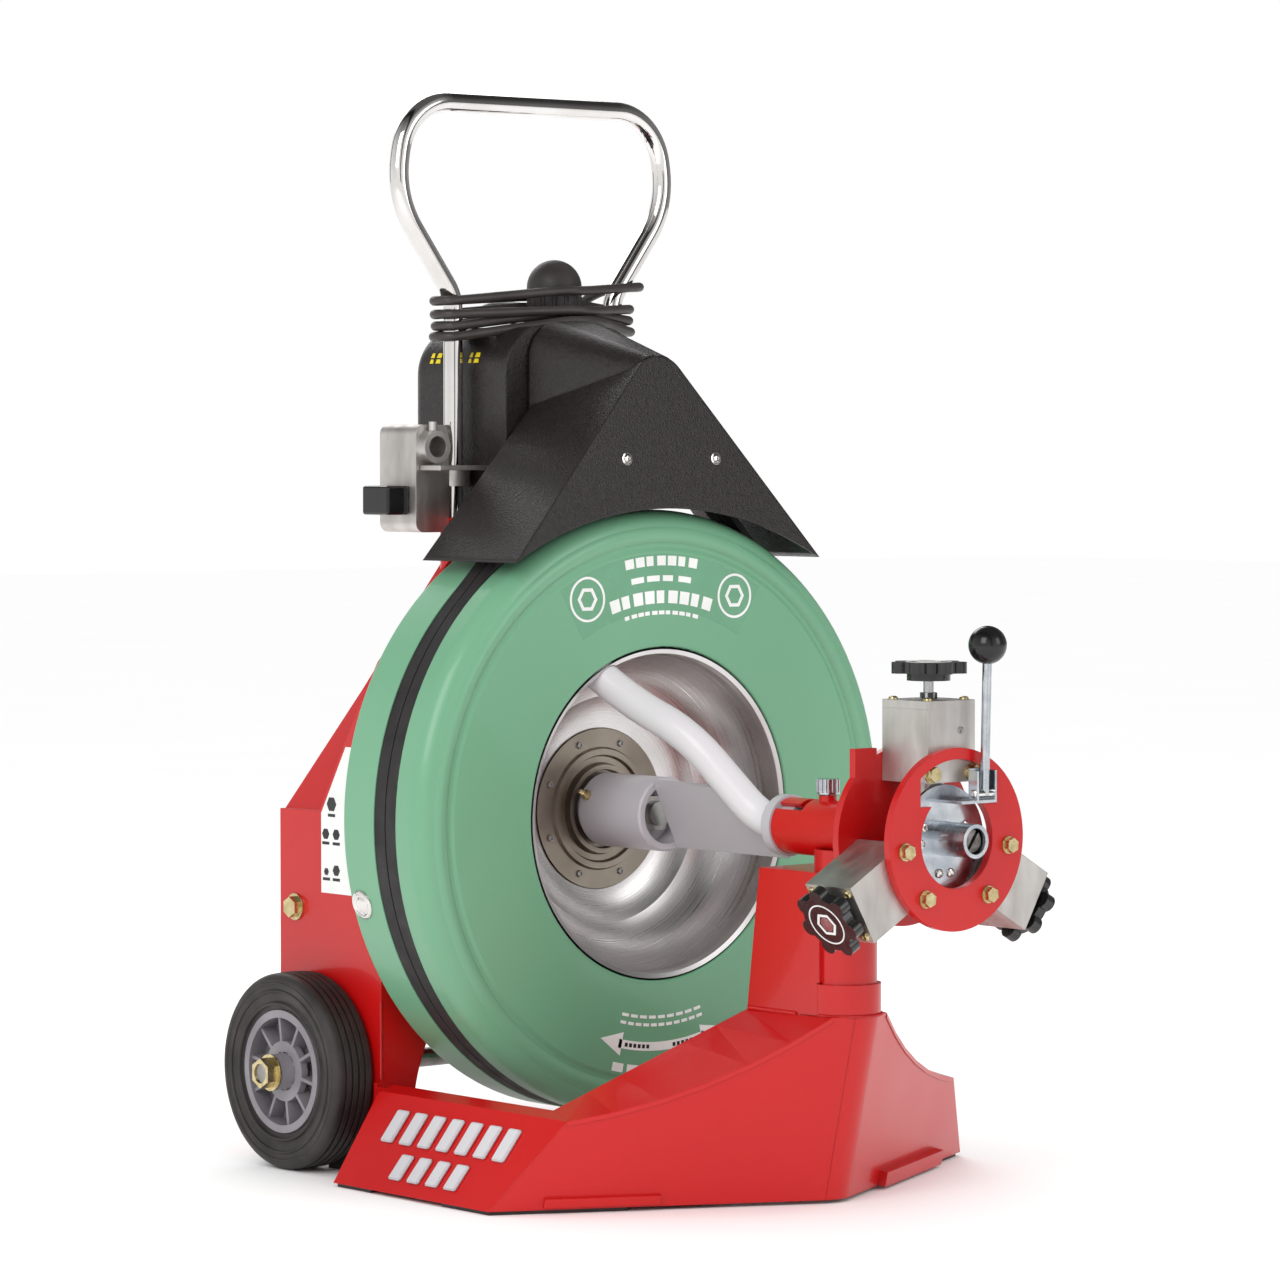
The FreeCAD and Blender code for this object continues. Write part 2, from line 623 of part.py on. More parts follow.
def build_guide():
    tube = swept(guide_path_points(), GUIDE_TUBE_R, GUIDE_BORE_R)
    room = swept(guide_path_points(), GUIDE_TUBE_R + 1.5)
    bowl = turned((
        (168.5, -40), (164, -38), (163, -30), ((150, 18), (118, 44)), ((102, 55), (84, 60)), (84, 62),
        ((103, 57), (119.4, 45.6)), ((152, 19), (165, -30)), (166, -36), (168.5, -38)))
    save("inner_bowl", bowl.cut(room))
    centre = turned((
        (14, 62), (14, 65.5), (92, 65.5), (92, 62), (83, 62), (83, 58), (64, 58), (62, 54), (56, 54),
        (54, 58), (48, 58), (46, 50), (41, 50), (40, 57), (31, 57), (31, 62)))
    save("bowl_centre_plate", centre)
    hub = turned((
        (30, -50), (30, -19), (SPINDLE_R + RUN_FIT, -19), (SPINDLE_R + RUN_FIT, 62), (30, 62), (30, 48),
        (GUIDE_HUB_R, 46), (GUIDE_HUB_R, -48), (GUIDE_HUB_R - 2, -50)))
    save("guide_hub", hub)
    flat = ((-50, -37), (-50, 38), (-150, 38), (-237, 10), (-237, -22), (-222, -37))
    angle = math.radians(GUIDE_ANGLE)
    across = V(-math.sin(angle), 0, math.cos(angle)) * 6
    arm = plate([on_guide(y, radius) for y, radius in flat], across)
    arm.translate(across * -0.5)
    arm = arm.cut(room).cut(cylinder(31.5, (0, -300, AXIS_Z), Y_AXIS, 73))
    save("guide_arm_plate", arm)
    save("guide_tube", tube)
    cable = swept([on_guide(30, 199.5)] + guide_path_points()[1:], CABLE_R)
    straight = cylinder(CABLE_R, (0, -480, AXIS_Z), Y_AXIS, 480 + GUIDE_ROUTE[-1][0])
    tip = cylinder(CABLE_TIP_R, (0, -497, AXIS_Z), Y_AXIS, 30)
    slot = block((-1.8, -498, AXIS_Z - 15), (1.8, -491, AXIS_Z + 15))
    tip = tip.cut(about_drum(slot, 35))
    save("cable_lead", cable.fuse(straight).fuse(tip))


# ---- feed head ----------------------------------------------------------------------------
ARMS = (("top", 0.0), ("left", -120.0), ("right", 120.0))


def sleeve():
    """The clamp sleeve with its J-shaped bayonet slot and the thumb screw's boss."""
    long = SLEEVE_Y[0] - SLEEVE_Y[1]
    body = ring(SLEEVE_R, 23, (0, SLEEVE_Y[1], AXIS_Z), Y_AXIS, long)
    boss = cylinder(9, (0, THUMB_Y, AXIS_Z + 24), Z_AXIS, 9)
    body = body.fuse(boss)
    straight = block((-4, -274, AXIS_Z + 15), (4, -239, AXIS_Z + 40))
    body = body.cut(about_drum(straight, -42))
    for k in range(4):
        hook = block((-4, -278, AXIS_Z + 20), (4, -270, AXIS_Z + 40))
        body = body.cut(about_drum(hook, -42 + 9 * k))
    return body.cut(cylinder(4.2, (0, THUMB_Y, AXIS_Z + 10), Z_AXIS, 40))


def head_bolt_angles():
    angles = []
    for _, arm_angle in ARMS:
        angles += [arm_angle - HEAD_BOLT_SPREAD, arm_angle + HEAD_BOLT_SPREAD]
    return angles


def head_holes(radius):
    holes = []
    for angle in head_bolt_angles():
        hole = cylinder(radius, (0, -490, AXIS_Z + HEAD_BOLT_PCD_R), Y_AXIS, 110)
        holes.append(about_drum(hole, angle))
    return holes[0].multiFuse(holes[1:])


def build_head_plates():
    holes = head_holes(HEAD_HOLE_R)
    rear = ring(HEAD_R, 23, (0, REAR_PLATE_Y - HEAD_PLATE, AXIS_Z), Y_AXIS, HEAD_PLATE)
    tab = block((-66, REAR_PLATE_Y - HEAD_PLATE, AXIS_Z + 50), (-38, REAR_PLATE_Y, AXIS_Z + 86))
    save("rear_head_plate", rear.fuse(tab).cut(holes))
    front = ring(HEAD_R, 47, (0, FRONT_PLATE_Y - HEAD_PLATE, AXIS_Z), Y_AXIS, HEAD_PLATE)
    slot = block((-48, FRONT_PLATE_Y - HEAD_PLATE - 1, AXIS_Z + 33), (52, FRONT_PLATE_Y + 1, AXIS_Z + 80))
    crown = cylinder(77, (0, FRONT_PLATE_Y - HEAD_PLATE - 1, AXIS_Z), Y_AXIS, HEAD_PLATE + 2)
    save("front_head_plate", front.cut(slot.common(crown)).cut(holes))


def head_bolt(angle):
    """A through bolt with washer; the two of the top arm bear on the arm inside the slot."""
    in_slot = abs(angle) < 90
    seat = FRONT_PLATE_Y + 0.3 if in_slot else FRONT_PLATE_Y - HEAD_PLATE
    z = AXIS_Z + HEAD_BOLT_PCD_R
    shank = cylinder(HEAD_BOLT_R, (0, seat - 2, z), Y_AXIS, REAR_PLATE_Y - seat + 12)
    washer = ring(8.5, HEAD_BOLT_R - 0.1, (0, seat - 1.6, z), Y_AXIS, 1.6)
    head = hexagon(13, (0, seat - 1.6, z), V(0, -1, 0), 6)
    nut = hexagon(13, (0, REAR_PLATE_Y, z), Y_AXIS, 7)
    return about_drum(shank.fuse(washer).fuse(head).fuse(nut), angle)


def arm_block():
    """The top arm: a bored aluminium block and the end cap that holds the feed screw."""
    low_y = ARM_Y - ARM_HALF - 0.7
    high_y = ARM_Y + ARM_HALF + 0.7
    body = block((-ARM_HALF, low_y, AXIS_Z + ARM_IN), (ARM_HALF, high_y, AXIS_Z + ARM_OUT))
    body = body.cut(cylinder(YOKE_R + RUN_FIT, (0, ARM_Y, AXIS_Z), Z_AXIS, ARM_OUT - 6))
    body = body.cut(cylinder(SCREW_R + 1, (0, ARM_Y, AXIS_Z), Z_AXIS, ARM_OUT + 1)).cut(head_holes(HEAD_HOLE_R))
    cap = block((-ARM_HALF, low_y, AXIS_Z + ARM_OUT), (ARM_HALF, high_y, AXIS_Z + ARM_OUT + CAP_THICK))
    return body, cap.cut(cylinder(SCREW_R + RUN_FIT, (0, ARM_Y, AXIS_Z), Z_AXIS, 160))


def yoke():
    """A round plunger, forked for the roller, with its pin and the feed screw's thread hole."""
    start = ROLLER_AT - 5
    body = cylinder(YOKE_R, (0, ARM_Y, AXIS_Z + start), Z_AXIS, 88 - start)
    half = ROLLER_WIDE / 2 + GAP
    fork = block((-20, ARM_Y - half, AXIS_Z), (20, ARM_Y + half, AXIS_Z + ROLLER_AT + ROLLER_R + 1))
    thread = cylinder(SCREW_R + RUN_FIT, (0, ARM_Y, AXIS_Z + 56), Z_AXIS, 40)
    pin = cylinder(3, (0, ARM_Y - 13, AXIS_Z + ROLLER_AT), Y_AXIS, 26)
    return body.cut(fork).cut(thread).fuse(pin)


def roller():
    """A grooved steel feed roller that turns on the yoke's pin."""
    half = ROLLER_WIDE / 2
    centre = (0, ARM_Y - half, AXIS_Z + ROLLER_AT)
    body = ring(ROLLER_R, 3 + RUN_FIT, centre, Y_AXIS, ROLLER_WIDE)
    for y in (-4, 4):
        groove = ring(ROLLER_R + 1, ROLLER_R - 1, (0, ARM_Y + y - 1, AXIS_Z + ROLLER_AT), Y_AXIS, 2)
        body = body.cut(groove)
    return body


def star_knob(sunk):
    """A lobed hand knob on its feed screw; sunk is how much nearer the cable it sits."""
    low = AXIS_Z + 158 - sunk
    lobes = cylinder(29, (0, ARM_Y, low), Z_AXIS, 11)
    for k in range(KNOB_LOBES):
        angle = 2 * math.pi * k / KNOB_LOBES
        x = math.cos(angle)
        y = math.sin(angle)
        lobes = lobes.fuse(cylinder(8.5, (28.5 * x, ARM_Y + 28.5 * y, low), Z_AXIS, 11))
    hub = cylinder(21, (0, ARM_Y, low - 7), Z_AXIS, 7)
    screw = cylinder(SCREW_R, (0, ARM_Y, AXIS_Z + 66), Z_AXIS, 85)
    knob = lobes.fuse(hub).fuse(screw)
    if sunk:
        return knob
    return knob.fuse(hexagon(15, (0, ARM_Y, AXIS_Z + ARM_OUT + CAP_THICK + GAP), Z_AXIS, 6))


def build_feed_head():
    collar = ring(30.5, GUIDE_TUBE_R + RUN_FIT, (0, SLEEVE_Y[0] + 0.1, AXIS_Z), Y_AXIS, 12)
    lip = ring(22.9, GUIDE_TUBE_R + RUN_FIT, (0, SLEEVE_Y[0] - 18, AXIS_Z), Y_AXIS, 18.2)
    save("bearing_collar", collar.fuse(lip))
    save("clamp_sleeve", sleeve())
    build_head_plates()
    save("head_bolts", *[head_bolt(angle) for angle in head_bolt_angles()])
    body, cap = arm_block()
    blocks = []
    for name, angle in ARMS:
        blocks += [about_drum(body, angle), about_drum(cap, angle)]
        save("roller_yoke_" + name, about_drum(yoke(), angle))
        save("feed_roller_" + name, about_drum(roller(), angle))
        save("feed_knob_" + name, about_drum(star_knob(KNOB_SUNK if angle else 0.0), angle))
    save("feed_arm_blocks", *blocks)
    shank = cylinder(4, (0, THUMB_Y, AXIS_Z + 23.5), Z_AXIS, 12)
    head = cylinder(11.5, (0, THUMB_Y, AXIS_Z + 34), Z_AXIS, 15)
    for k in range(16):
        angle = 2 * math.pi * k / 16
        at = (11.8 * math.cos(angle), THUMB_Y + 11.8 * math.sin(angle), AXIS_Z + 36)
        flute = cylinder(1.2, at, Z_AXIS, 14)
        head = head.cut(flute)
    save("thumb_screw", shank.fuse(head))
    build_lever()


def build_lever():
    """Control plate with the nose tube, the clevis on its shelf, the rod and its ball."""
    disc = ring(52, NOSE_BORE_R, (0, CONTROL_Y - 4, AXIS_Z), Y_AXIS, 4)
    nose = ring(NOSE_R, NOSE_BORE_R, (0, -502, AXIS_Z), Y_AXIS, 502 + CONTROL_Y)
    shelf = block((-8, -491, AXIS_Z + 35), (38, CONTROL_Y - 2, AXIS_Z + 38))
    back = block((12, -481.5, AXIS_Z + 35), (38, -479, AXIS_Z + 68))
    cheeks = [block((x, -491, AXIS_Z + 35), (x + 2.5, -479, AXIS_Z + 66)) for x in (12, 35.5)]
    save("control_plate", disc.fuse(nose).fuse(shelf).fuse(back).fuse(cheeks[0]).fuse(cheeks[1]))
    foot = V(LEVER_X + 1, -486.3, AXIS_Z + 42)
    ball = V(*BALL_AT)
    reach = ball.sub(foot)
    rod = Part.makeCylinder(4.5, reach.Length - BALL_R + 6, foot, reach)
    sphere = Part.makeSphere(BALL_R, ball)
    save("lever_ball", sphere.cut(rod))
    save("lever_rod", rod)


# ---- drive ----------------------------------------------------------------------------------
def build_drive():
    housing = cylinder(MOTOR_R, (0, MOTOR_FRONT_Y, MOTOR_Z), Y_AXIS, MOTOR_BACK_Y - MOTOR_FRONT_Y)
    hollow = cylinder(MOTOR_R - 4, (0, MOTOR_FRONT_Y + 8, MOTOR_Z), Y_AXIS, MOTOR_BACK_Y - MOTOR_FRONT_Y - 16)
    shaft_hole = cylinder(MOTOR_SHAFT_R + RUN_FIT, (0, MOTOR_FRONT_Y - 1, MOTOR_Z), Y_AXIS, 133)
    save("motor_housing", housing.cut(hollow).cut(shaft_hole))
    save("motor_stator", ring(MOTOR_R - 4.2, 43, (0, 126, MOTOR_Z), Y_AXIS, 88))
    shaft = cylinder(MOTOR_SHAFT_R, (0, -6, MOTOR_Z), Y_AXIS, 240)
    save("motor_rotor", shaft.fuse(cylinder(42, (0, 128, MOTOR_Z), Y_AXIS, 84)))
    floor = PULLEY_FLOOR_R
    pulley = ring(floor, MOTOR_SHAFT_R, (0, -3, MOTOR_Z), Y_AXIS, 42)
    for y, wide in ((-3, 3), (17.3, 1.2), (36.1, 2.9)):
        pulley = pulley.fuse(ring(floor + 9, MOTOR_SHAFT_R, (0, y, MOTOR_Z), Y_AXIS, wide))
    save("motor_pulley", pulley)
    save("drive_belts", belt(0.5), belt(BELT_BAND - BELT_WIDE - 0.5))


def arched(half, low, top, corner, y):
    """A round-shouldered arch outline in the plane of the given y."""
    lean = corner * (1 - math.sqrt(0.5))
    steps = (
        (-half, low), (-half, top - corner), ((-half + lean, top - lean), (-half + corner, top)),
        (half - corner, top), ((half - lean, top - lean), (half, top - corner)), (half, low))
    return outline(steps, lambda x, z: V(x, y, z))


def guard_roof(shrink, start, end, arc_r):
    """The peaked prism of the belt guard; shrink moves its sloping sides inwards."""
    (cx, cz), (ax, az) = GUARD_CORNER, GUARD_APEX
    slope = math.hypot(cx - ax, az - cz)
    dx = shrink * (az - cz) / slope
    dz = shrink * (cx - ax) / slope
    arc_top = AXIS_Z + arc_r
    round_z = az + GUARD_RISE - shrink
    steps = (
        (-cx + dx, cz - dz), (-ax + dx, az - dz), ((0, round_z), (ax - dx, az - dz)), (cx - dx, cz - dz),
        ((0, arc_top), (-cx + dx, cz - dz)))
    face = Part.Face(outline(steps, lambda x, z: V(x, start, z)))
    return face.extrude(V(0, end - start, 0))


def hump(shrink):
    """The raised back of the guard, growing from the peak to the motor cover."""
    front = arched(26 - shrink, 790, 836 - shrink, 20 - shrink / 2, GUARD_FRONT_Y + 23 + shrink)
    back = arched(62 - shrink, 745, 873 - shrink, 40 - shrink / 2, GUARD_BACK_Y + 3 + shrink)
    return Part.makeLoft([front, back], True)


def guard_front(shrink):
    """Everything ahead of the guard's leaning front."""
    foot = GUARD_FRONT_Y + shrink
    top_z = 900
    top = foot + GUARD_LEAN * (top_z - GUARD_CORNER[1])
    side = [(foot, GUARD_CORNER[1]), (top, top_z), (-200, top_z), (-200, GUARD_CORNER[1])]
    return plate([(-300, y, z) for y, z in side], V(600, 0, 0))


def guard_body(shrink, end, arc_r):
    roof = guard_roof(shrink, GUARD_FRONT_Y + shrink, end, arc_r)
    return roof.fuse(hump(shrink)).cut(guard_front(shrink))


def build_covers():
    skin = GUARD_SKIN
    guard = guard_body(0, GUARD_BACK_Y, GUARD_ARC_R).cut(guard_body(skin, GUARD_BACK_Y + 5, GUARD_ARC_R - 14))
    guard = guard.cut(block((-250, GUARD_BACK_Y + 3, 500), (250, GUARD_BACK_Y + 30, 900)))
    drum_room = cylinder(GUARD_ROOM_R, (0, -47, AXIS_Z), Y_AXIS, 200)
    save("belt_guard", guard.cut(drum_room))
    low = MOUNT_Z + MOUNT_THICK
    shell = Part.Face(arched(COVER_HALF, low, COVER_TOP_Z, COVER_CORNER_R, COVER_FRONT_Y))
    body = shell.extrude(V(0, COVER_BACK_Y - COVER_FRONT_Y, 0))
    rear_edges = [edge for edge in body.Edges if edge.BoundBox.YMin > COVER_BACK_Y - 0.1]
    rim = [edge for edge in rear_edges if edge.BoundBox.ZMax > low + 1]
    body = body.makeFillet(20, rim)
    half = COVER_HALF - COVER_SKIN
    inner_y = COVER_FRONT_Y + COVER_SKIN
    inner_face = Part.Face(arched(half, low - 1, COVER_TOP_Z - COVER_SKIN, COVER_CORNER_R - 3, inner_y))
    inner_body = inner_face.extrude(V(0, COVER_BACK_Y - COVER_FRONT_Y - 2 * COVER_SKIN, 0))
    inner_rim = [edge for edge in inner_body.Edges
                 if edge.BoundBox.YMin > COVER_BACK_Y - COVER_SKIN - 0.1 and edge.BoundBox.ZMax > low + 1]
    inner_body = inner_body.makeFillet(17, inner_rim)
    cover = body.cut(inner_body).cut(cylinder(30, (0, 90, MOTOR_Z), Y_AXIS, 20))
    save("motor_cover", cover)


# ---- handle, switch box, knob -----------------------------------------------------------------
def build_handle():
    left = [(-LEG_X, LEG_LOW_Z), (-LEG_X, LEG_BEND_Z), (-182, 1000), (-167, HANDLE_TOP_Z)]
    points = left + [(-x, z) for x, z in reversed(left)]
    radii = (42, 95, 62, 62, 95, 42)
    save("carry_handle", bent_tube([V(x, LEG_Y, z) for x, z in points], radii))
    guides = []
    for side in (-1, 1):
        x0, x1 = sorted((side * 91.0, side * 160.0))
        thin = block((x0, 120, GUIDE_PLATE_Z), (x1, 196, GUIDE_PLATE_Z + 5))
        boss = cylinder(18, (side * LEG_X, LEG_Y, GUIDE_PLATE_Z - 16.5), Z_AXIS, 16.5)
        boss = boss.cut(block((-90.5, 100, 600), (90.5, 250, 800)))
        guide = thin.fuse(boss).cut(cylinder(LEG_R + RUN_FIT, (side * LEG_X, LEG_Y, 600), Z_AXIS, 200))
        guides.append(guide)
    room_end = (BOX_HIGH[0] + GAP, BOX_HIGH[1] + 1, BOX_HIGH[2])
    room = block((BOX_LOW[0] - 1, BOX_LOW[1] - 1, BOX_LOW[2]), room_end)
    guides[0] = guides[0].cut(room)
    save("handle_guides", *guides)


def bent_tube(corners, radii):
    """A round tube along straight runs with the given bend radii."""
    edges = []
    here = corners[0]
    for before, corner, after, radius in zip(corners, corners[1:], corners[2:], radii):
        back = before.sub(corner).normalize()
        ahead = after.sub(corner).normalize()
        half_turn = (math.pi - back.getAngle(ahead)) / 2
        reach = radius * math.tan(half_turn)
        inward = (back + ahead).normalize()
        centre = corner + inward * (radius / math.cos(half_turn))
        bend_start = corner + back * reach
        edges.append(Part.LineSegment(here, bend_start).toShape())
        here = corner + ahead * reach
        edges.append(Part.Arc(bend_start, centre - inward * radius, here).toShape())
    edges.append(Part.LineSegment(here, corners[-1]).toShape())
    path = Part.Wire(edges)
    return pipe(path, corners[0], Z_AXIS, LEG_R).cut(pipe(path, corners[0], Z_AXIS, LEG_R - LEG_WALL))


def build_switch():
    body = block(BOX_LOW, BOX_HIGH)
    body = body.makeFillet(10, [e for e in body.Edges if e.BoundBox.YLength > 50])
    x, y, z = CONDUIT_AT
    hub = cylinder(CONDUIT_HUB_R, CONDUIT_AT, Y_AXIS, BOX_LOW[1] - y + 1)
    screw = cylinder(4.5, (x, y + 8, z + CONDUIT_HUB_R - 3), Z_AXIS, 12)
    body = body.fuse(hub).fuse(screw).cut(cylinder(CONDUIT_BORE_R, (x, y - 1, z), Y_AXIS, 41))
    lug = block((BOX_HIGH[0] - 2, 186, MOUNT_Z + MOUNT_THICK), (-100, 214, MOUNT_Z + MOUNT_THICK + 5))
    pocket = cylinder(9, (PADDLE_AT[0] - 1, PADDLE_AT[1], PADDLE_AT[2]), X_AXIS, 12)
    save("switch_box", body.fuse(lug).cut(pocket))
    px, py, pz = PADDLE_AT
    handle = block((px - 29, py - 22, pz - 15), (px - GAP, py + 22, pz + 15))
    handle = handle.makeFillet(3, handle.Edges)
    stem = cylinder(8.95, (px - 2, py, pz), X_AXIS, 10)
    save("switch_paddle", handle.fuse(stem))
    cx, cy = DOME_AT
    top = COVER_TOP_Z
    upper_half = block((cx - 40, cy - 40, top + 43), (cx + 40, cy + 40, top + 80))
    dome = Part.makeSphere(29, V(cx, cy, top + 43)).common(upper_half)
    skirt = cylinder(29, (cx, cy, top + 8), Z_AXIS, 35.1)
    for k in range(14):
        angle = 2 * math.pi * k / 14
        flute = cylinder(3, (cx + 30 * math.cos(angle), cy + 30 * math.sin(angle), top + 7), Z_AXIS, 34)
        skirt = skirt.cut(flute)
    flange = cylinder(46, (cx, cy, top + GAP), Z_AXIS, 4.5)
    neck = cylinder(20, (cx, cy, top + GAP), Z_AXIS, 10)
    save("domed_knob", dome.fuse(skirt).fuse(flange).fuse(neck))


# ---- power cord ---------------------------------------------------------------------------------
def band_steps(circles):
    """Outline of a band pulled tight round circles given anticlockwise as (x, y, radius)."""
    ends = []
    for (ax, ay, ar), (bx, by, br) in zip(circles, circles[1:] + circles[:1]):
        span = V(bx - ax, by - ay, 0)
        lean = (ar - br) / span.Length
        unit = V(span).normalize()
        normal = unit * lean + V(unit.y, -unit.x, 0) * math.sqrt(1 - lean * lean)
        leaves = (ax + ar * normal.x, ay + ar * normal.y)
        meets = (bx + br * normal.x, by + br * normal.y)
        ends.append((normal, leaves, meets))
    steps = [ends[-1][2]]
    for k, (x, y, radius) in enumerate(circles):
        middle = V(ends[k - 1][0] + ends[k][0]).normalize() * radius
        steps.append(((x + middle.x, y + middle.y), ends[k][1]))
        if k < len(circles) - 1:
            steps.append(ends[k][2])
    return steps


def coil_body(shrink):
    """The bundle's outer shape round the legs and the domed knob, or its hollow when shrunk."""
    left, right = [(x, y, radius - shrink) for x, y, radius in COIL_LEGS]
    dome = (COIL_DOME[0], COIL_DOME[1], COIL_DOME[2] - shrink)
    wire = outline(band_steps([left, dome, right, dome]), lambda x, y: V(x, y, COIL_Z[0]))
    return Part.Face(wire).extrude(V(0, 0, COIL_Z[1] - COIL_Z[0]))


def cord_tube(points):
    radii = []
    path = fillet_path(points, radii)
    tube = pipe(path, V(*points[0]), V(*points[1]).sub(V(*points[0])), CORD_R)
    print("cord bend radii", radii, "volume over section times length",
          round(tube.Volume / (math.pi * CORD_R ** 2 * path.Length), 4), "length", round(path.Length, 1))
    return tube


def build_cord():
    lead = cord_tube(LEAD_ROUTE)
    tail = cord_tube(TAIL_ROUTE)
    save("power_cord", lead, tail)
    save("power_cord_coil", coil_body(0.0).cut(coil_body(COIL_BAND)))
    nut = hexagon(24, (GLAND_X, COVER_BACK_Y, GLAND_Z), Y_AXIS, 7)
    cone = Part.makeCone(9, 5.8, 21, V(GLAND_X, COVER_BACK_Y + 7, GLAND_Z), Y_AXIS)
    save("cord_gland", nut.fuse(cone).cut(cylinder(CORD_R, (GLAND_X, COVER_BACK_Y + 28, GLAND_Z), Y_AXIS, 5)))
    x, y, z = TAIL_ROUTE[-1]
    relief = Part.makeCone(10, 6, 18, V(x, y, z - 18), Z_AXIS)
    body = cylinder(17, (x, y, z - 52), Z_AXIS, 34)
    pins = [block((x + dx - 0.8, y - 3.2, z - 70), (x + dx + 0.8, y + 3.2, z - 52)) for dx in (-6.3, 6.3)]
    earth = cylinder(2.4, (x, y + 10, z - 72), Z_AXIS, 20)
    save("power_plug", relief.fuse(body).fuse(pins[0]).fuse(pins[1]).fuse(earth))


def main():
    os.makedirs("parts", exist_ok=True)
    build_base()
    build_column()
    build_wheels()
    build_drum()
    build_spindle()
    build_guide()
    build_feed_head()
    build_drive()
    build_covers()
    build_handle()
    build_switch()
    build_cord()


main()
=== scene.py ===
"""The looks of the drain snake machine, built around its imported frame."""

import json
import math

import bmesh
import bpy
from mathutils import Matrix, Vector


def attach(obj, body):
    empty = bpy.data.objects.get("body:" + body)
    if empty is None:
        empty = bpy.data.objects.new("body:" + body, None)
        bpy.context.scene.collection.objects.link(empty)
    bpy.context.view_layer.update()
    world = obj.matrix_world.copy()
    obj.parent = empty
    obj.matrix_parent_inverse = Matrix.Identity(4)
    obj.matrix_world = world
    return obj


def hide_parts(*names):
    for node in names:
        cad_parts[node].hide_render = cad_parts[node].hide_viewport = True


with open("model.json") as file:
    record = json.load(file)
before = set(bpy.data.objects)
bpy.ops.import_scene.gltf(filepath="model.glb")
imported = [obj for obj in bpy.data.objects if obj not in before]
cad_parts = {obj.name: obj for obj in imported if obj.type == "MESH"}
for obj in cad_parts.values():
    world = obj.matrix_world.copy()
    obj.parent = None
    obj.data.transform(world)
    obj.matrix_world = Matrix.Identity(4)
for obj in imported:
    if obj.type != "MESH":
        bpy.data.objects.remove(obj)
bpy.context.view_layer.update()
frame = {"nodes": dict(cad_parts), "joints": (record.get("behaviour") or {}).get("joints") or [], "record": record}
JOINTS = {joint["name"]: joint for joint in frame["joints"]}

# Places are in millimetres, with Y counted from the front edge of the drive belts.
MM = 0.001
DRUM_JOINT_Y = 20.0      # the drum joint's place behind the belts' front edge
BELT_Y = JOINTS["drum_spin"]["pos_m"][1] / MM - DRUM_JOINT_Y
AXIS_Z = JOINTS["drum_spin"]["pos_m"][2] / MM
X_AXIS = Vector((1, 0, 0))
Y_AXIS = Vector((0, 1, 0))


def at(x, y, z):
    """A place in millimetres as a point of the frame, in metres."""
    return Vector((x, y + BELT_Y, z)) * MM


def round_drum(angle, radius, y):
    """A point about the drum's axis; the angle in degrees is counted from +X towards +Z."""
    turn = math.radians(angle)
    return at(radius * math.cos(turn), y, AXIS_Z + radius * math.sin(turn))


def outward(angle):
    turn = math.radians(angle)
    return Vector((math.cos(turn), 0, math.sin(turn)))


# ---- camera, light and floor ------------------------------------------------------------------
CAMERA_AT = (-3272.0, -3880.0, 746.0)
CAMERA_TO = Vector((0.6448, 0.7633, -0.0396))
CAMERA_LENS = 139.1


def make_camera():
    data = bpy.data.cameras.new("camera")
    data.lens = CAMERA_LENS
    data.sensor_width = 36.0
    data.clip_start = 0.1
    data.clip_end = 60.0
    camera = bpy.data.objects.new("camera", data)
    bpy.context.scene.collection.objects.link(camera)
    camera.location = at(*CAMERA_AT)
    camera.rotation_euler = CAMERA_TO.to_track_quat("-Z", "Y").to_euler()
    bpy.context.scene.camera = camera


def softbox(name, place, aim, width, height, power):
    data = bpy.data.lights.new(name, "AREA")
    data.shape = "RECTANGLE"
    data.size = width
    data.size_y = height
    data.energy = power
    lamp = bpy.data.objects.new(name, data)
    bpy.context.scene.collection.objects.link(lamp)
    lamp.location = place
    lamp.rotation_euler = (Vector(aim) - Vector(place)).to_track_quat("-Z", "Y").to_euler()


def grey_ramp(nodes, factor_from, low, stops):
    """Greys along one part of the ray's direction, which runs from low to 1."""
    place = nodes.new("ShaderNodeMapRange")
    place.inputs["From Min"].default_value = low
    ramp = nodes.new("ShaderNodeValToRGB")
    ramp.color_ramp.elements.remove(ramp.color_ramp.elements[1])
    for k, (position, grey) in enumerate(stops):
        stop = ramp.color_ramp.elements[0] if k == 0 else ramp.color_ramp.elements.new(position)
        stop.position = position
        stop.color = (grey, grey, grey, 1)
    links = ramp.id_data.links
    links.new(factor_from, place.inputs["Value"])
    links.new(place.outputs["Result"], ramp.inputs["Fac"])
    return ramp.outputs["Color"]


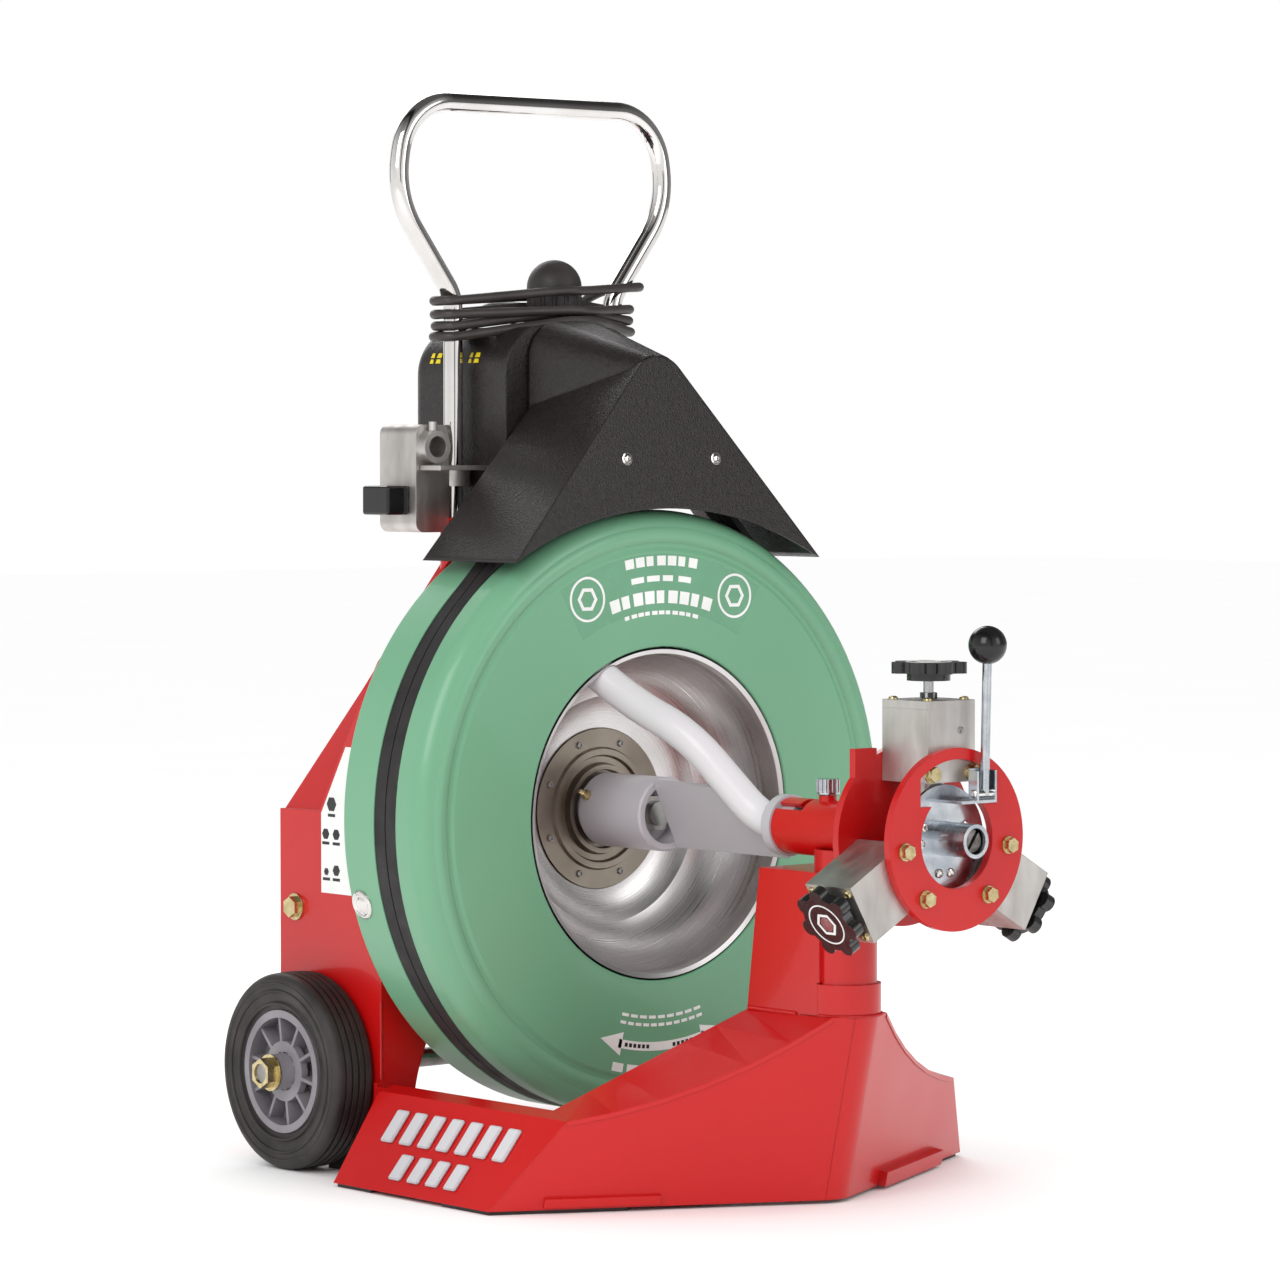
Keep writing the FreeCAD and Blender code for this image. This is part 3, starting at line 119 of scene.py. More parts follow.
def make_surroundings():
    """Even white light, and a banded room with a dark ceiling for the reflections only."""
    world = bpy.data.worlds.new("studio")
    bpy.context.scene.world = world
    world.use_nodes = True
    nodes = world.node_tree.nodes
    links = world.node_tree.links
    split = nodes.new("ShaderNodeSeparateXYZ")
    links.new(nodes.new("ShaderNodeTexCoord").outputs["Generated"], split.inputs["Vector"])
    height = grey_ramp(nodes, split.outputs["Z"], 0.0, ((0.0, 1.0), (0.35, 0.75), (0.85, 0.1)))
    bands = ((0.0, 0.9), (0.12, 1.0), (0.27, 1.0), (0.31, 0.12), (0.37, 0.12), (0.42, 1.0), (0.72, 1.0),
             (0.8, 0.15), (1.0, 0.3))
    side = grey_ramp(nodes, split.outputs["X"], -1.0, bands)
    room = nodes.new("ShaderNodeMix")
    room.data_type = "RGBA"
    room.blend_type = "MULTIPLY"
    room.inputs[0].default_value = 1.0
    links.new(height, room.inputs[6])
    links.new(side, room.inputs[7])
    mirror = nodes.new("ShaderNodeMix")
    mirror.data_type = "RGBA"
    mirror.inputs[6].default_value = (1.0, 1.0, 1.0, 1)
    links.new(nodes.new("ShaderNodeLightPath").outputs["Is Glossy Ray"], mirror.inputs[0])
    links.new(room.outputs[2], mirror.inputs[7])
    links.new(mirror.outputs[2], nodes["Background"].inputs["Color"])
    nodes["Background"].inputs["Strength"].default_value = 1.0


def make_studio():
    softbox("key_light", (-3.4, -1.6, 2.6), (0, 0, 0.45), 2.0, 2.4, 55)
    softbox("fill_light", (1.6, -3.6, 1.9), (0, 0, 0.4), 1.6, 2.0, 18)
    softbox("back_light", (1.2, 3.0, 2.6), (0, 0, 0.5), 2.4, 1.4, 30)
    make_surroundings()
    bpy.ops.mesh.primitive_plane_add(size=40, location=(0, 0, 0))
    floor = bpy.context.object
    floor.name = "floor"
    pale = Finish("floor_pale", specular=0.0)
    pale.colour(pale.noise(2.0), (0.975, 0.975, 0.975, 1), (0.985, 0.985, 0.985, 1))
    pale.rough(pale.noise(6.0), 0.55, 0.65)
    floor.data.materials.append(pale.material)
    bpy.context.scene.view_settings.view_transform = "Standard"


# ---- materials ----------------------------------------------------------------------------------
def srgb(red, green, blue):
    """A colour given as a screen shows it, from 0 to 255, in linear light."""
    return (*[((c / 255 + 0.055) / 1.055) ** 2.4 for c in (red, green, blue)], 1.0)


class Finish:
    """A procedural material built round one Principled shader; places are object coordinates."""

    def __init__(self, name, metallic=0.0, coat=0.0, specular=0.5):
        self.material = bpy.data.materials.new(name)
        self.material.use_nodes = True
        self.nodes = self.material.node_tree.nodes
        self.links = self.material.node_tree.links
        self.shader = self.nodes["Principled BSDF"]
        self.shader.inputs["Metallic"].default_value = metallic
        self.shader.inputs["Coat Weight"].default_value = coat
        self.shader.inputs["Coat Roughness"].default_value = 0.06
        self.shader.inputs["Specular IOR Level"].default_value = specular
        self.place = self.nodes.new("ShaderNodeTexCoord").outputs["Object"]

    def add(self, kind, **inputs):
        node = self.nodes.new(kind)
        for name, value in inputs.items():
            node.inputs[name.replace("_", " ")].default_value = value
        return node

    def noise(self, scale, detail=3.0, stretch=(1, 1, 1), centre=(0, 0, 0)):
        """Cloudy noise; scale is in features per metre before the stretch."""
        mapping = self.add("ShaderNodeMapping", Scale=stretch, Location=centre)
        texture = self.add("ShaderNodeTexNoise", Scale=scale, Detail=detail)
        self.links.new(self.place, mapping.inputs["Vector"])
        self.links.new(mapping.outputs["Vector"], texture.inputs["Vector"])
        return texture.outputs["Fac"]

    def pebbles(self, scale):
        texture = self.add("ShaderNodeTexVoronoi", Scale=scale)
        texture.feature = "SMOOTH_F1"
        self.links.new(self.place, texture.inputs["Vector"])
        return texture.outputs["Distance"]

    def vector(self, operation, first, second):
        node = self.nodes.new("ShaderNodeVectorMath")
        node.operation = operation
        self.links.new(first, node.inputs[0])
        node.inputs[1].default_value = second
        return node

    def from_line(self, origin, direction):
        """Distance in metres from the line through origin along direction."""
        offset = self.vector("SUBTRACT", self.place, origin)
        across = self.vector("CROSS_PRODUCT", offset.outputs["Vector"], direction)
        return self.vector("LENGTH", across.outputs["Vector"], (0, 0, 0)).outputs["Value"]

    def lathe_marks(self, origin, direction, scale, detail=3.0):
        """Noise that changes only with the distance from a line, as turning marks do."""
        texture = self.add("ShaderNodeTexNoise", Scale=scale, Detail=detail)
        texture.noise_dimensions = "1D"
        self.links.new(self.from_line(origin, direction), texture.inputs["W"])
        return texture.outputs["Fac"]

    def above(self, value, limit):
        node = self.nodes.new("ShaderNodeMath")
        node.operation = "GREATER_THAN"
        self.links.new(value, node.inputs[0])
        node.inputs[1].default_value = limit
        return node.outputs["Value"]

    def spread(self, factor, low, high, start=0.3, end=0.7):
        node = self.add("ShaderNodeMapRange", From_Min=start, From_Max=end, To_Min=low, To_Max=high)
        self.links.new(factor, node.inputs["Value"])
        return node.outputs["Result"]

    def mixed(self, factor, first, second):
        """A colour between two; each is a colour or an output."""
        mix = self.nodes.new("ShaderNodeMix")
        mix.data_type = "RGBA"
        self.links.new(factor, mix.inputs[0])
        for socket, value in ((mix.inputs[6], first), (mix.inputs[7], second)):
            if isinstance(value, tuple):
                socket.default_value = value
            else:
                self.links.new(value, socket)
        return mix.outputs[2]

    def colour(self, factor, first, second):
        blend = self.spread(factor, 0.0, 1.0)
        self.links.new(self.mixed(blend, first, second), self.shader.inputs["Base Color"])

    def rough(self, factor, low, high):
        self.links.new(self.spread(factor, low, high), self.shader.inputs["Roughness"])

    def relief(self, factor, depth, edge=0.0):
        """Bumps of a depth in metres, over edges softened by a small radius."""
        bump = self.add("ShaderNodeBump", Distance=depth)
        self.links.new(factor, bump.inputs["Height"])
        if edge:
            bevel = self.add("ShaderNodeBevel", Radius=edge)
            bevel.samples = 4
            self.links.new(bevel.outputs["Normal"], bump.inputs["Normal"])
        self.links.new(bump.outputs["Normal"], self.shader.inputs["Normal"])


def gloss_paint(name, light, dark, coat=0.25, peel=0.00006):
    """Sprayed enamel: faint clouds of tone, orange peel and softened edges."""
    paint = Finish(name, coat=coat, specular=0.35)
    paint.colour(paint.noise(4.0, 0.0), light, dark)
    paint.rough(paint.noise(12.0, 0.0), 0.28, 0.34)
    paint.relief(paint.noise(420.0, 2.0), peel, 0.0012)
    return paint.material


def bright_metal(name, light, dark, low, high, streak=(1, 1, 1), scale=60.0, depth=0.00005, edge=0.0006):
    """Metal with streaks or clouds of tone along the stretch."""
    metal = Finish(name, metallic=1.0)
    metal.colour(metal.noise(scale, 4.0, streak), light, dark)
    metal.rough(metal.noise(scale * 1.7, 4.0, streak), low, high)
    metal.relief(metal.noise(scale * 6, 3.0, streak), depth, edge)
    return metal.material


def moulded(name, light, dark, low, high, grain=900.0, depth=0.0001, edge=0.0008):
    """Rubber or plastic with a fine grain."""
    plastic = Finish(name)
    plastic.colour(plastic.noise(25.0), light, dark)
    plastic.rough(plastic.noise(40.0), low, high)
    plastic.relief(plastic.noise(grain, 2.0), depth, edge)
    return plastic.material


def pebbled_black():
    """The hoods' black texture coat: close round grains that catch small lights."""
    coat = Finish("black_texture")
    coat.colour(coat.noise(240.0, 2.0), srgb(22, 18, 17), srgb(38, 32, 31))
    coat.rough(coat.noise(300.0), 0.30, 0.44)
    coat.relief(coat.pebbles(620.0), 0.0004, 0.0035)
    return coat.material


def turned_metal(name, light, dark, low, high, origin, direction, scale=900.0, depth=0.00002):
    """Spun or lathe-turned metal, with marks round its axis and long soft smears."""
    metal = Finish(name, metallic=1.0)
    marks = metal.lathe_marks(origin, direction, scale)
    metal.colour(metal.noise(9.0, 4.0), light, dark)
    metal.rough(marks, low, high)
    metal.relief(marks, depth, 0.0005)
    return metal.material


def knob_black(name, origin, direction):
    """Glossy black plastic, with the bare steel of the feed screw near the knob's axis."""
    knob = Finish(name, coat=0.3)
    plastic = knob.above(knob.from_line(origin, direction), 0.0076)
    tone = knob.mixed(knob.noise(30.0), srgb(16, 15, 16), srgb(34, 32, 33))
    steel = knob.mixed(knob.noise(200.0), srgb(150, 150, 152), srgb(205, 205, 208))
    knob.links.new(knob.mixed(plastic, steel, tone), knob.shader.inputs["Base Color"])
    knob.links.new(knob.spread(plastic, 1.0, 0.0, 0.0, 1.0), knob.shader.inputs["Metallic"])
    knob.rough(knob.noise(60.0), 0.22, 0.34)
    knob.relief(knob.noise(700.0), 0.00006, 0.0008)
    return knob.material


DRUM_LINE = (at(0, 0, AXIS_Z), (0, 1, 0))
# each row holds the light and the dark tone, then the finish's own settings
PAINTS = {
    "red_paint": ((196, 14, 14), (186, 11, 12), 0.3, 0.0001),
    "green_paint": ((112, 165, 131), (107, 160, 126), 0.2),
    "black_paint": ((30, 29, 29), (44, 42, 42)),
    "grey_paint": ((186, 182, 187), (168, 164, 169), 0.2),
    "white_paint": ((218, 215, 218), (202, 198, 201), 0.25),
    "bar_paint": ((206, 204, 207), (192, 190, 194), 0.2),
}
MOULDINGS = {
    "black_plastic": ((14, 13, 14), (28, 26, 27), 0.12, 0.24, 600.0, 0.00003),
    "rubber": ((38, 34, 33), (54, 49, 48), 0.42, 0.6),
    "tyre_rubber": ((34, 30, 29), (52, 47, 45), 0.45, 0.65, 700.0, 0.0002),
    "grey_plastic": ((122, 118, 124), (140, 136, 141), 0.35, 0.5),
    "belt_rubber": ((22, 20, 20), (38, 34, 34), 0.5, 0.7),
    "cord_rubber": ((46, 41, 40), (62, 56, 54), 0.38, 0.5, 500.0, 0.00006, 0.0),
    "label_white": ((240, 240, 238), (226, 227, 224), 0.3, 0.45, 500.0, 0.00002, 0.0),
    "label_black": ((20, 20, 22), (34, 33, 34), 0.35, 0.5, 500.0, 0.00002, 0.0),
    "label_yellow": ((236, 214, 20), (220, 192, 12), 0.3, 0.45, 500.0, 0.00002, 0.0),
    "label_film": ((106, 160, 127), (102, 155, 122), 0.2, 0.3, 500.0, 0.00002, 0.0),
}
# low and high roughness, then streak, scale, depth and edge
METALS = {
    "chrome": ((232, 230, 228), (214, 210, 206), 0.04, 0.10, (1, 1, 1), 14.0, 0.00001),
    "steel": ((168, 166, 164), (142, 139, 136), 0.25, 0.42),
    "cable_steel": ((150, 146, 142), (96, 90, 86), 0.3, 0.5, (1, 1, 1), 140.0),
    "zinc": ((214, 218, 222), (176, 182, 190), 0.14, 0.30, (1, 1, 1), 45.0),
    "cast_aluminium": ((214, 210, 206), (184, 179, 175), 0.38, 0.58, (1, 1, 0.35), 38.0, 0.00015, 0.0009),
    "yellow_zinc": ((218, 203, 160), (188, 170, 122), 0.2, 0.36, (1, 1, 1), 160.0),
    "copper": ((214, 140, 96), (160, 88, 54), 0.25, 0.4, (1, 1, 1), 300.0),
}
TURNED_METALS = {
    "spun_aluminium": ((226, 224, 224), (196, 192, 190), 0.24, 0.40),
    "bowl_steel": ((172, 163, 152), (128, 118, 106), 0.3, 0.48),
}


def make_finishes():
    """One material for each slot of the record, and some that only extra pieces use."""
    finishes = {"black_texture": pebbled_black()}
    for maker, family in ((gloss_paint, PAINTS), (moulded, MOULDINGS), (bright_metal, METALS)):
        for name, (light, dark, *settings) in family.items():
            finishes[name] = maker(name, srgb(*light), srgb(*dark), *settings)
    for name, (light, dark, *settings) in TURNED_METALS.items():
        finishes[name] = turned_metal(name, srgb(*light), srgb(*dark), *settings, *DRUM_LINE)
    return finishes


def dress_nodes():
    """Gives every CAD node the material of its slot in the record."""
    for row in frame["record"]["subparts"]:
        thing = frame["nodes"][row["node"]]
        thing.data.materials.clear()
        thing.data.materials.append(FINISH[row["material_slot"]])
    for name, angle in ARMS:
        thing = frame["nodes"]["feed_knob_" + name]
        thing.data.materials[0] = knob_black("knob_" + name, at(0, ARM_Y, AXIS_Z), outward(angle))


# ---- pieces ---------------------------------------------------------------------------------------
def add_piece(name, mesh, finish, body, smooth=True):
    """Puts a finished bmesh in the scene, on a body, with a material."""
    bmesh.ops.recalc_face_normals(mesh, faces=mesh.faces)
    data = bpy.data.meshes.new(name)
    mesh.to_mesh(data)
    mesh.free()
    data.materials.append(FINISH[finish])
    piece = bpy.data.objects.new(name, data)
    bpy.context.scene.collection.objects.link(piece)
    if smooth:
        for polygon in data.polygons:
            polygon.use_smooth = True
        data.set_sharp_from_angle(angle=math.radians(35))
    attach(piece, body)
    return piece


def lathe(mesh, profile, origin, direction, steps=32):
    """Turns a (radius, height) profile in millimetres about the direction, from the origin."""
    turn = Vector(direction).to_track_quat("Z", "Y").to_matrix()
    rings = []
    for radius, height in profile:
        if radius == 0:
            rings.append([mesh.verts.new(origin + turn @ Vector((0, 0, height * MM)))])
            continue
        ring = []
        for k in range(steps):
            angle = 2 * math.pi * k / steps
            spoke = Vector((radius * math.cos(angle), radius * math.sin(angle), height)) * MM
            ring.append(mesh.verts.new(origin + turn @ spoke))
        rings.append(ring)
    for low, high in zip(rings, rings[1:]):
        for k in range(steps):
            after = (k + 1) % steps
            corners = [low[k % len(low)], low[after % len(low)], high[after % len(high)], high[k % len(high)]]
            mesh.faces.new(list(dict.fromkeys(corners)))


def prism(mesh, outline, thickness):
    """A flat outline of points pushed along a vector; both in metres."""
    low = [mesh.verts.new(point) for point in outline]
    high = [mesh.verts.new(point + thickness) for point in outline]
    mesh.faces.new(low)
    mesh.faces.new(high)
    for k in range(len(low)):
        after = (k + 1) % len(low)
        mesh.faces.new([low[k], low[after], high[after], high[k]])


PAN_HEAD = ((4.6, 0), (4.6, 1.2), (3.9, 2.4), (2.4, 3.0), (2.2, 2.2), (0, 2.0))


def screws(name, places, direction, finish, body, profile=PAN_HEAD):
    """Round screw heads with a hollow drive, all facing one way."""
    mesh = bmesh.new()
    for place in places:
        lathe(mesh, profile, place, direction, 24)
    return add_piece(name, mesh, finish, body)


# ---- decoration of the drum ---------------------------------------------------------------------
FACE_Y = -41.0
DECAL = 0.3
FILM = 0.15


# rows of bars: radius, width, first and last angle, number of bars
LABEL_ROWS = ((259, 10, 79, 101, 7), (241, 6, 80, 100, 4), (222, 13, 72, 108, 9), (206, 4, 76, 104, 11))


def arc_patch(mesh, radius, width, start, end, y=FACE_Y, thick=DECAL):
    """A bent bar on the drum's front, between two angles in degrees."""
    steps = max(2, int(abs(end - start) / 2))
    angles = [start + (end - start) * k / steps for k in range(steps + 1)]
    low = [round_drum(angle, radius - width / 2, y) for angle in angles]
    high = [round_drum(angle, radius + width / 2, y) for angle in angles]
    prism(mesh, low + high[::-1], Y_AXIS * -thick * MM)


def face_ring(mesh, centre, outer, inner, y, thick, steps=40):
    """A flat ring on the drum's front about a point (x, z)."""
    profile = ((inner, 0), (inner, thick), (outer, thick), (outer, 0), (inner, 0))
    lathe(mesh, profile, at(centre[0], y, centre[1]), -Y_AXIS, steps)


def drum_label():
    """A film with plain bars in rows and two ringed hexagons, and a two-way arrow low down."""
    film = bmesh.new()
    arc_patch(film, 237, 58, 60, 120, FACE_Y, FILM)
    add_piece("drum_label_film", film, "label_film", "drum")
    marks = bmesh.new()
    for radius, width, start, end, count in LABEL_ROWS:
        pitch = (end - start) / count
        for k in range(count):
            short = 0.30 if k % 3 == 1 else 0.14
            bar_start = start + pitch * (k + short)
            bar_end = start + pitch * (k + 0.94)
            arc_patch(marks, radius, width, bar_start, bar_end, FACE_Y - FILM)
    for angle in (66, 114):
        spot = outward(angle) * 242
        centre = (spot.x, AXIS_Z + spot.z)
        face_ring(marks, centre, 23, 20.5, FACE_Y - FILM, DECAL)
        face_ring(marks, centre, 13, 9, FACE_Y - FILM, DECAL, 6)
    for radius, count in ((262, 7), (216, 11), (208, 9)):
        width = 9 if radius > 250 else 3.2
        for k in range(count):
            middle = 270 + 30 * ((k + 0.5) / count - 0.5)
            arc_patch(marks, radius, width, middle - 12 / count, middle + 10 / count)
    arc_patch(marks, 238, 9, 256, 284)
    for tip, base in ((250, 257), (290, 283)):
        head = [round_drum(tip, 238, FACE_Y), round_drum(base, 226, FACE_Y), round_drum(base, 250, FACE_Y)]
        prism(marks, head, Y_AXIS * -DECAL * MM)
    add_piece("drum_marks", marks, "label_white", "drum")
    dark = bmesh.new()
    for start in (258, 273.5):
        for k in range(6):
            arc_patch(dark, 238, 4, start + 1.4 * k, start + 1.4 * k + 0.9, FACE_Y - DECAL, 0.15)
    add_piece("drum_arrow_bars", dark, "label_black", "drum")


DRUM_R = 310.7
CLASP_ANGLE = 195.5
CLASP_Y = 69.0
CLASP = ((15, -0.6), (15, 1.0), (13.6, 2.3), (11.8, 2.6), (10.4, 1.4), (8.6, 1.0), (7.6, 1.6), (5.2, 2.8),
         (0, 3.2))


def drum_clasps():
    """Three round chrome clasps on the rear shell's rim."""
    mesh = bmesh.new()
    for k in range(3):
        angle = CLASP_ANGLE + 120 * k
        lathe(mesh, CLASP, round_drum(angle, DRUM_R, CLASP_Y), outward(angle), 40)
    add_piece("drum_clasps", mesh, "chrome", "drum")


def bowl_details():
    """Eight small bolts on the bowl's centre plate, and the hub's grease nipple."""
    places = [round_drum(22.5 + 45 * k, 72, 58) for k in range(8)]
    bolt = ((3.6, 0), (3.6, 1.8), (3.0, 2.4), (1.9, 2.4), (1.7, 1.2), (0, 1.2))
    screws("bowl_bolts", places, -Y_AXIS, "steel", "cable_guide", bolt)
    nipple = bmesh.new()
    profile = ((5.5, -1), (5.5, 4), (3.0, 4.5), (3.0, 8), (2.2, 9), (3.2, 10.5), (2.4, 12.5), (0, 13))
    lathe(nipple, profile, round_drum(155, 38, 36), outward(155), 6)
    add_piece("grease_nipple", nipple, "yellow_zinc", "cable_guide", False)


# ---- feed head --------------------------------------------------------------------------------
ARMS = (("top", 90.0), ("left", 210.0), ("right", 330.0))
ARM_Y = -436.0
CAP_R = 133.0
KNOB_FACE_R = {"top": 169.0, "left": 152.0, "right": 152.0}
KNOB_BODY = {"top": "upper_knob", "left": "left_knob", "right": "right_knob"}


def arm_details():
    """Four brass screws on each arm's cap, and a ring with a hexagon on each knob."""
    for name, angle in ARMS:
        out = outward(angle)
        side = Y_AXIS.cross(out)
        centre = at(0, ARM_Y, AXIS_Z) + out * CAP_R * MM
        places = [centre + (side * a + Y_AXIS * b) * 24 * MM for a in (-1, 1) for b in (-1, 1)]
        screws("arm_screws_" + name, places, out, "yellow_zinc", "frame")
        emblem = bmesh.new()
        face = at(0, ARM_Y, AXIS_Z) + out * KNOB_FACE_R[name] * MM
        for outer, inner, sides in ((22, 20.6, 48), (13, 10, 6)):
            lathe(emblem, ((inner, 0), (inner, 0.4), (outer, 0.4), (outer, 0)), face, out, sides)
        add_piece("knob_emblem_" + name, emblem, "label_white", KNOB_BODY[name])


def control_details():
    """Screws on the control plate, the lever's rivet and the small screw on the top arm."""
    spots = ((-7, -33), (8, -33), (27, 12), (-27, 12), (-31, -4))       # (x, z) from the axis
    places = [at(x, -458, AXIS_Z + z) for x, z in spots]
    screws("plate_screws", places, -Y_AXIS, "chrome", "feed_lever")
    rivet = bmesh.new()
    profile = ((0, -1.4), (2.8, -1.2), (4.2, 0), (4.2, 26), (2.8, 27.2), (0, 27.4))
    lathe(rivet, profile, at(12, -486, AXIS_Z + 44), X_AXIS, 24)
    add_piece("lever_rivet", rivet, "chrome", "feed_lever")
    screws("arm_mark", [at(12, -467.7, AXIS_Z + 104)], -Y_AXIS, "steel", "frame",
           ((3.4, 0), (3.4, 0.8), (2.6, 1.2), (1.4, 1.0), (0, 0.6)))


# ---- column, base and wheels ------------------------------------------------------------------
COLUMN_SIDE_X = -240.0
RAIL_FOOT = Vector((-316, 0, 4))
RAIL_TOP = Vector((-258, 0, 92))


def raised_bars():
    """Two rows of silver wordless bars, which stand proud of the left rail's slope."""
    slope = (RAIL_TOP - RAIL_FOOT).normalized()
    normal = slope.cross(Y_AXIS).normalized()
    mesh = bmesh.new()
    for first, last, low, high, count in ((58, -150, 52, 88, 7), (18, -100, 14, 42, 4)):
        pitch = (last - first) / count
        for k in range(count):
            start = first + pitch * (k + 0.14)
            end = first + pitch * (k + 0.74)
            lean = -5.0
            corners = ((start, low), (end, low), (end + lean, high), (start + lean, high))
            outline = [at(*(RAIL_FOOT + slope * up)) + Y_AXIS * y * MM for y, up in corners]
            prism(mesh, outline, normal * 4.0 * MM)
    bmesh.ops.bevel(mesh, geom=mesh.edges[:], offset=1.1 * MM, segments=3, affect="EDGES")
    add_piece("rail_bars", mesh, "bar_paint", "frame")


def fin_panel():
    """A white panel on the column's left side, with plain black signs."""
    outline = ((218, 284), (218, 366), (176, 436), (140, 436), (140, 284))
    x = COLUMN_SIDE_X
    panel = bmesh.new()
    prism(panel, [at(x, y, z) for y, z in outline], X_AXIS * -0.4 * MM)
    add_piece("fin_panel", panel, "label_white", "frame")
    signs = bmesh.new()
    for y, z, radius in ((200, 376, 8), (210, 345, 6), (192, 345, 6), (209, 306, 4), (192, 308, 6)):
        lathe(signs, ((0, 0.5), (radius, 0.5), (radius, 0)), at(x - 0.3, y, z), -X_AXIS, 6)
        bar = [at(x - 0.4, y + a, z - radius - 2 + b) for a, b in ((-6, 0), (6, 0), (6, -3), (-6, -3))]
        prism(signs, bar, X_AXIS * -0.3 * MM)
    add_piece("fin_signs", signs, "label_black", "frame", False)


def cover_marks():
    """Yellow marks on the motor cover's left shoulder."""
    mesh = bmesh.new()
    centre = (-40.0, 818.0)
    for start, end in ((148, 156), (160, 165), (212, 220), (224, 230)):
        for low, high in ((14, 19), (21, 27)):
            corners = []
            for y, angle in ((start, low), (end, low), (end - 1, high), (start + 1, high)):
                turn = math.radians(180 - angle)
                corners.append(at(centre[0] + 50.1 * math.cos(turn), y, centre[1] + 50.1 * math.sin(turn)))
            prism(mesh, corners, Vector((-1, 0, 0.4)).normalized() * 0.4 * MM)
    add_piece("cover_marks", mesh, "label_yellow", "frame")


def bead(mesh, start, end, radius):
    """A weld bead: overlapping ripples along a line; all in metres."""
    run = end - start
    count = max(3, int(run.length / (radius * 0.55)))
    turn = run.to_track_quat("Z", "Y").to_matrix()
    rings = []
    for k in range(4 * count + 1):
        swell = radius * (0.84 + 0.16 * abs(math.sin(math.pi * k / 4)))
        middle = start + run * (k / (4 * count))
        spokes = [Vector((math.cos(a), math.sin(a), 0)) * swell for a in [math.pi * j / 5 for j in range(10)]]
        rings.append([mesh.verts.new(middle + turn @ spoke) for spoke in spokes])
    for low, high in zip(rings, rings[1:]):
        for k in range(10):
            mesh.faces.new([low[k], low[(k + 1) % 10], high[(k + 1) % 10], high[k]])
    mesh.faces.new(rings[0])
    mesh.faces.new(rings[-1])


def weld_beads():
    mesh = bmesh.new()
    for side in (-1, 1):
        bead(mesh, at(side * 35, -215, 187.5), at(side * 35, -286, 187.5), 2.6 * MM)
        bead(mesh, at(side * 240, 117.5, 100), at(side * 240, 117.5, 180), 2.0 * MM)
    steps = 14
    ring = [at(35.5 * math.cos(math.pi * k / steps), -319 - 35.5 * math.sin(math.pi * k / steps), 188.5)
            for k in range(steps + 1)]
    for start, end in zip(ring, ring[1:]):
        bead(mesh, start, end, 1.8 * MM)
    add_piece("weld_beads", mesh, "red_paint", "frame")


def tyre_rings():
    """Raised rings on the tyres' sidewalls."""
    for side, name in ((-1, "left"), (1, "right")):
        joint = JOINTS[name + "_wheel_spin"]
        centre = Vector(joint["pos_m"])
        mesh = bmesh.new()
        for radius, reach in ((70, 23.1), (83, 23.7), (91, 23.8)):
            for face in (-1, 1):
                profile = ((radius - 1.6, 0), (radius - 0.8, 0.9), (radius + 0.8, 0.9), (radius + 1.6, 0))
                lathe(mesh, profile, centre + X_AXIS * face * reach * MM, X_AXIS * face, 72)
        add_piece("tyre_rings_" + name, mesh, "tyre_rubber", name + "_wheel")


def guard_screws():
    places = [at(x, -46.6, 731) for x in (-51, 68)]
    screws("guard_screws", places, Vector((0, -1, 0.103)), "chrome", "frame",
           ((6.6, 0), (6.6, 0.8), (4.6, 1.0), (4.4, 2.2), (3.4, 3.4), (1.6, 3.6), (1.4, 2.6), (0, 2.6)))


# ---- power cord ---------------------------------------------------------------------------------
CORD_R = 5.0
LEG_X = 107.0
LEG_Y = 167.0
LEG_BEND_Z = 890.0
DOME = (35.0, 175.0)
LEAD = ((60, 290, 781), (60, 337, 781), (60, 370.5, 814.5), (61, 370.5, 861), (64, 338, 893.5),
        (67, 290, 895), (62, 250, 891), (44, 229, 887), (8, 225, 882), (-30, 216, 878), (-66, 203, 869))
TAIL = ((128, 196, 913), (121, 232, 900), (114, 268, 876), (113, 298, 842), (113, 302, 803), (113, 302, 768))
# heights at the left leg, before the dome, at the right leg and behind the dome, then the
# distances from the dome's axis in front and from the legs' axes
TURNS = (
    (857, 875, 865, 880, 53, 21.0),
    (868, 884, 877, 891, 38, 19.0),
    (880, 886, 889, 902, 49, 20.0),
    (894, 907, 913, 0, 37, 18.0),
)


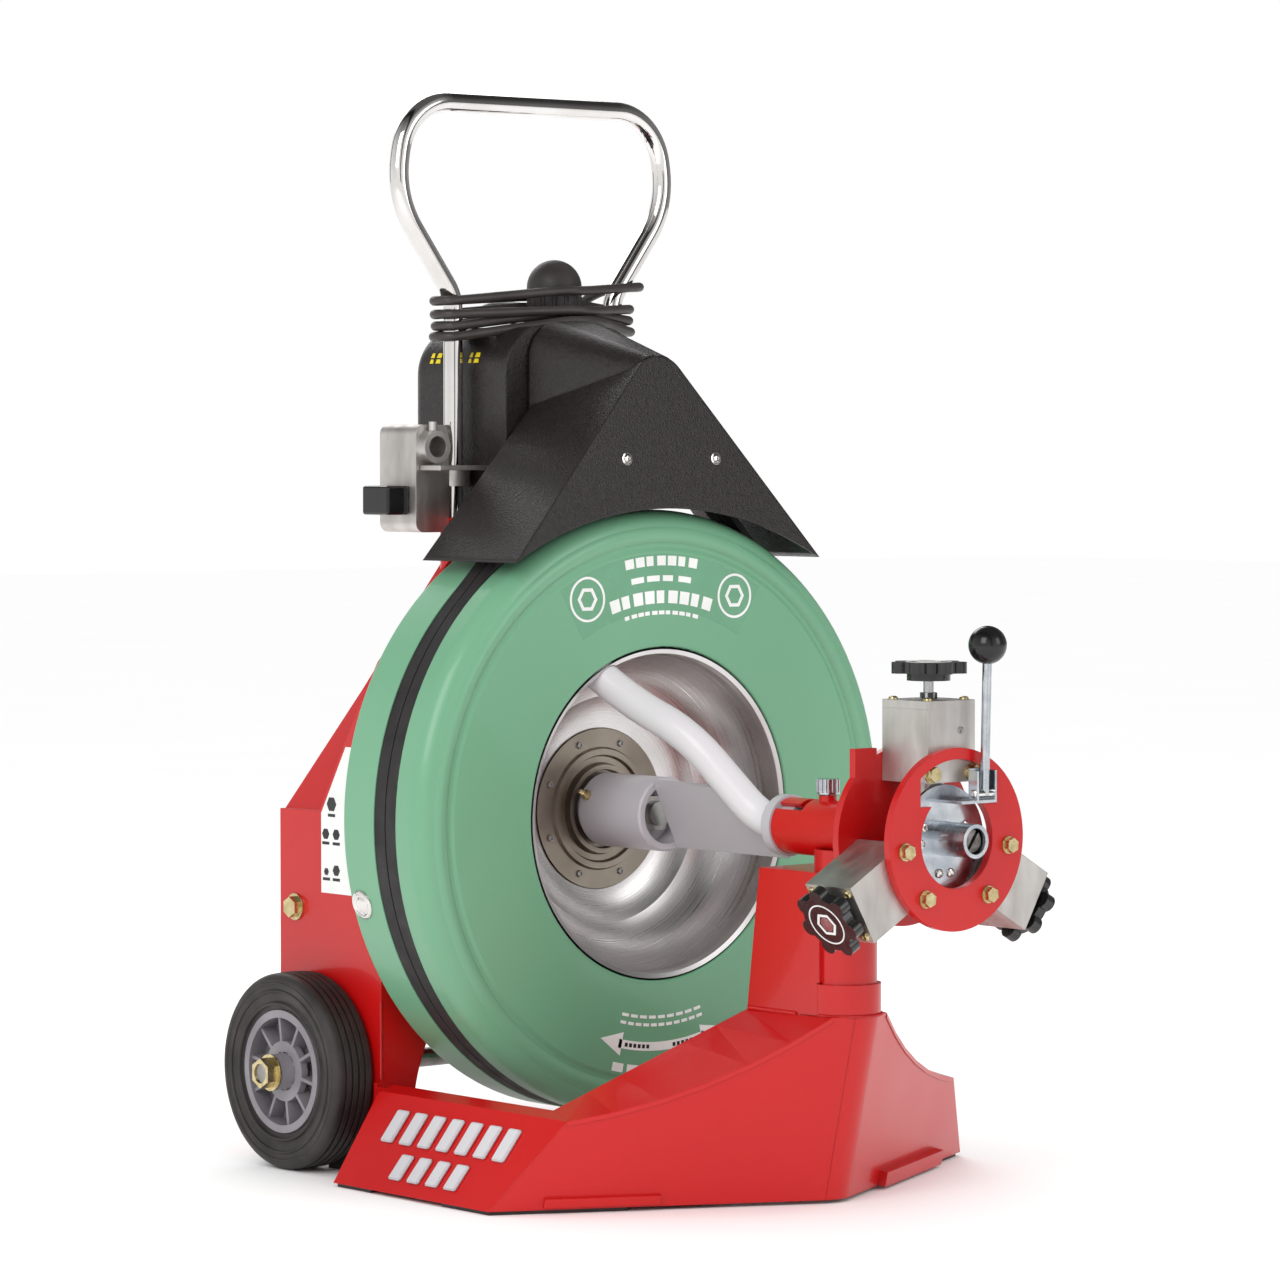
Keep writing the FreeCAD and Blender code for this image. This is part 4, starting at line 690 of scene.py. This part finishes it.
def leg_place(side, angle, radius, z):
    """A point round a handle leg, which leans outwards above its bend."""
    turn = math.radians(angle)
    x = side * (LEG_X + 0.7 * max(0.0, z - LEG_BEND_Z))
    return (x + radius * math.cos(turn), LEG_Y + radius * math.sin(turn), z)


def dome_place(angle, radius, z):
    turn = math.radians(angle)
    return (DOME[0] + radius * math.cos(turn), DOME[1] + radius * math.sin(turn), z)


def between(start, end, share):
    return tuple(a + (b - a) * share for a, b in zip(start, end))


def cord_turns():
    """Loose turns round both handle legs and the domed knob."""
    points = []
    for k, (left, front, right, back, reach, loose) in enumerate(TURNS):
        points += [leg_place(-1, angle, loose, left) for angle in (115, 145, 180, 215, 245)]
        dome_front = [dome_place(angle, reach, front) for angle in (248, 270, 294)]
        points += [between(points[-1], dome_front[0], share) for share in (0.35, 0.7)]
        points += dome_front
        leg = [leg_place(1, angle, loose, right) for angle in (-65, -35, 0, 35, 65)]
        points.append(between(dome_front[-1], leg[0], 0.5))
        if k == len(TURNS) - 1:
            return points + leg[:3]
        points += leg
        dome_back = [dome_place(angle, 38, back) for angle in (70, 92, 114)]
        points.append(between(leg[-1], dome_back[0], 0.5))
        points += dome_back
        after = leg_place(-1, 115, 20, TURNS[k + 1][0])
        points += [between(dome_back[-1], after, share) for share in (0.35, 0.7)]
    return points


def power_cord():
    route = list(LEAD) + cord_turns() + list(TAIL)
    data = bpy.data.curves.new("power_cord_line", "CURVE")
    data.dimensions = "3D"
    line = data.splines.new("NURBS")
    line.points.add(len(route) - 1)
    for point, place in zip(line.points, route):
        point.co = (*at(*place), 1.0)
    line.order_u = 3
    line.use_endpoint_u = True
    line.resolution_u = 8
    data.bevel_depth = CORD_R * MM
    data.bevel_resolution = 4
    data.use_fill_caps = True
    data.materials.append(FINISH["cord_rubber"])
    cord = bpy.data.objects.new("power_cord_line", data)
    bpy.context.scene.collection.objects.link(cord)
    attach(cord, "frame")
    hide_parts("power_cord", "power_cord_coil")


FINISH = make_finishes()
make_camera()
power_cord()
dress_nodes()
make_studio()
drum_label()
drum_clasps()
bowl_details()
arm_details()
control_details()
raised_bars()
fin_panel()
cover_marks()
weld_beads()
tyre_rings()
guard_screws()
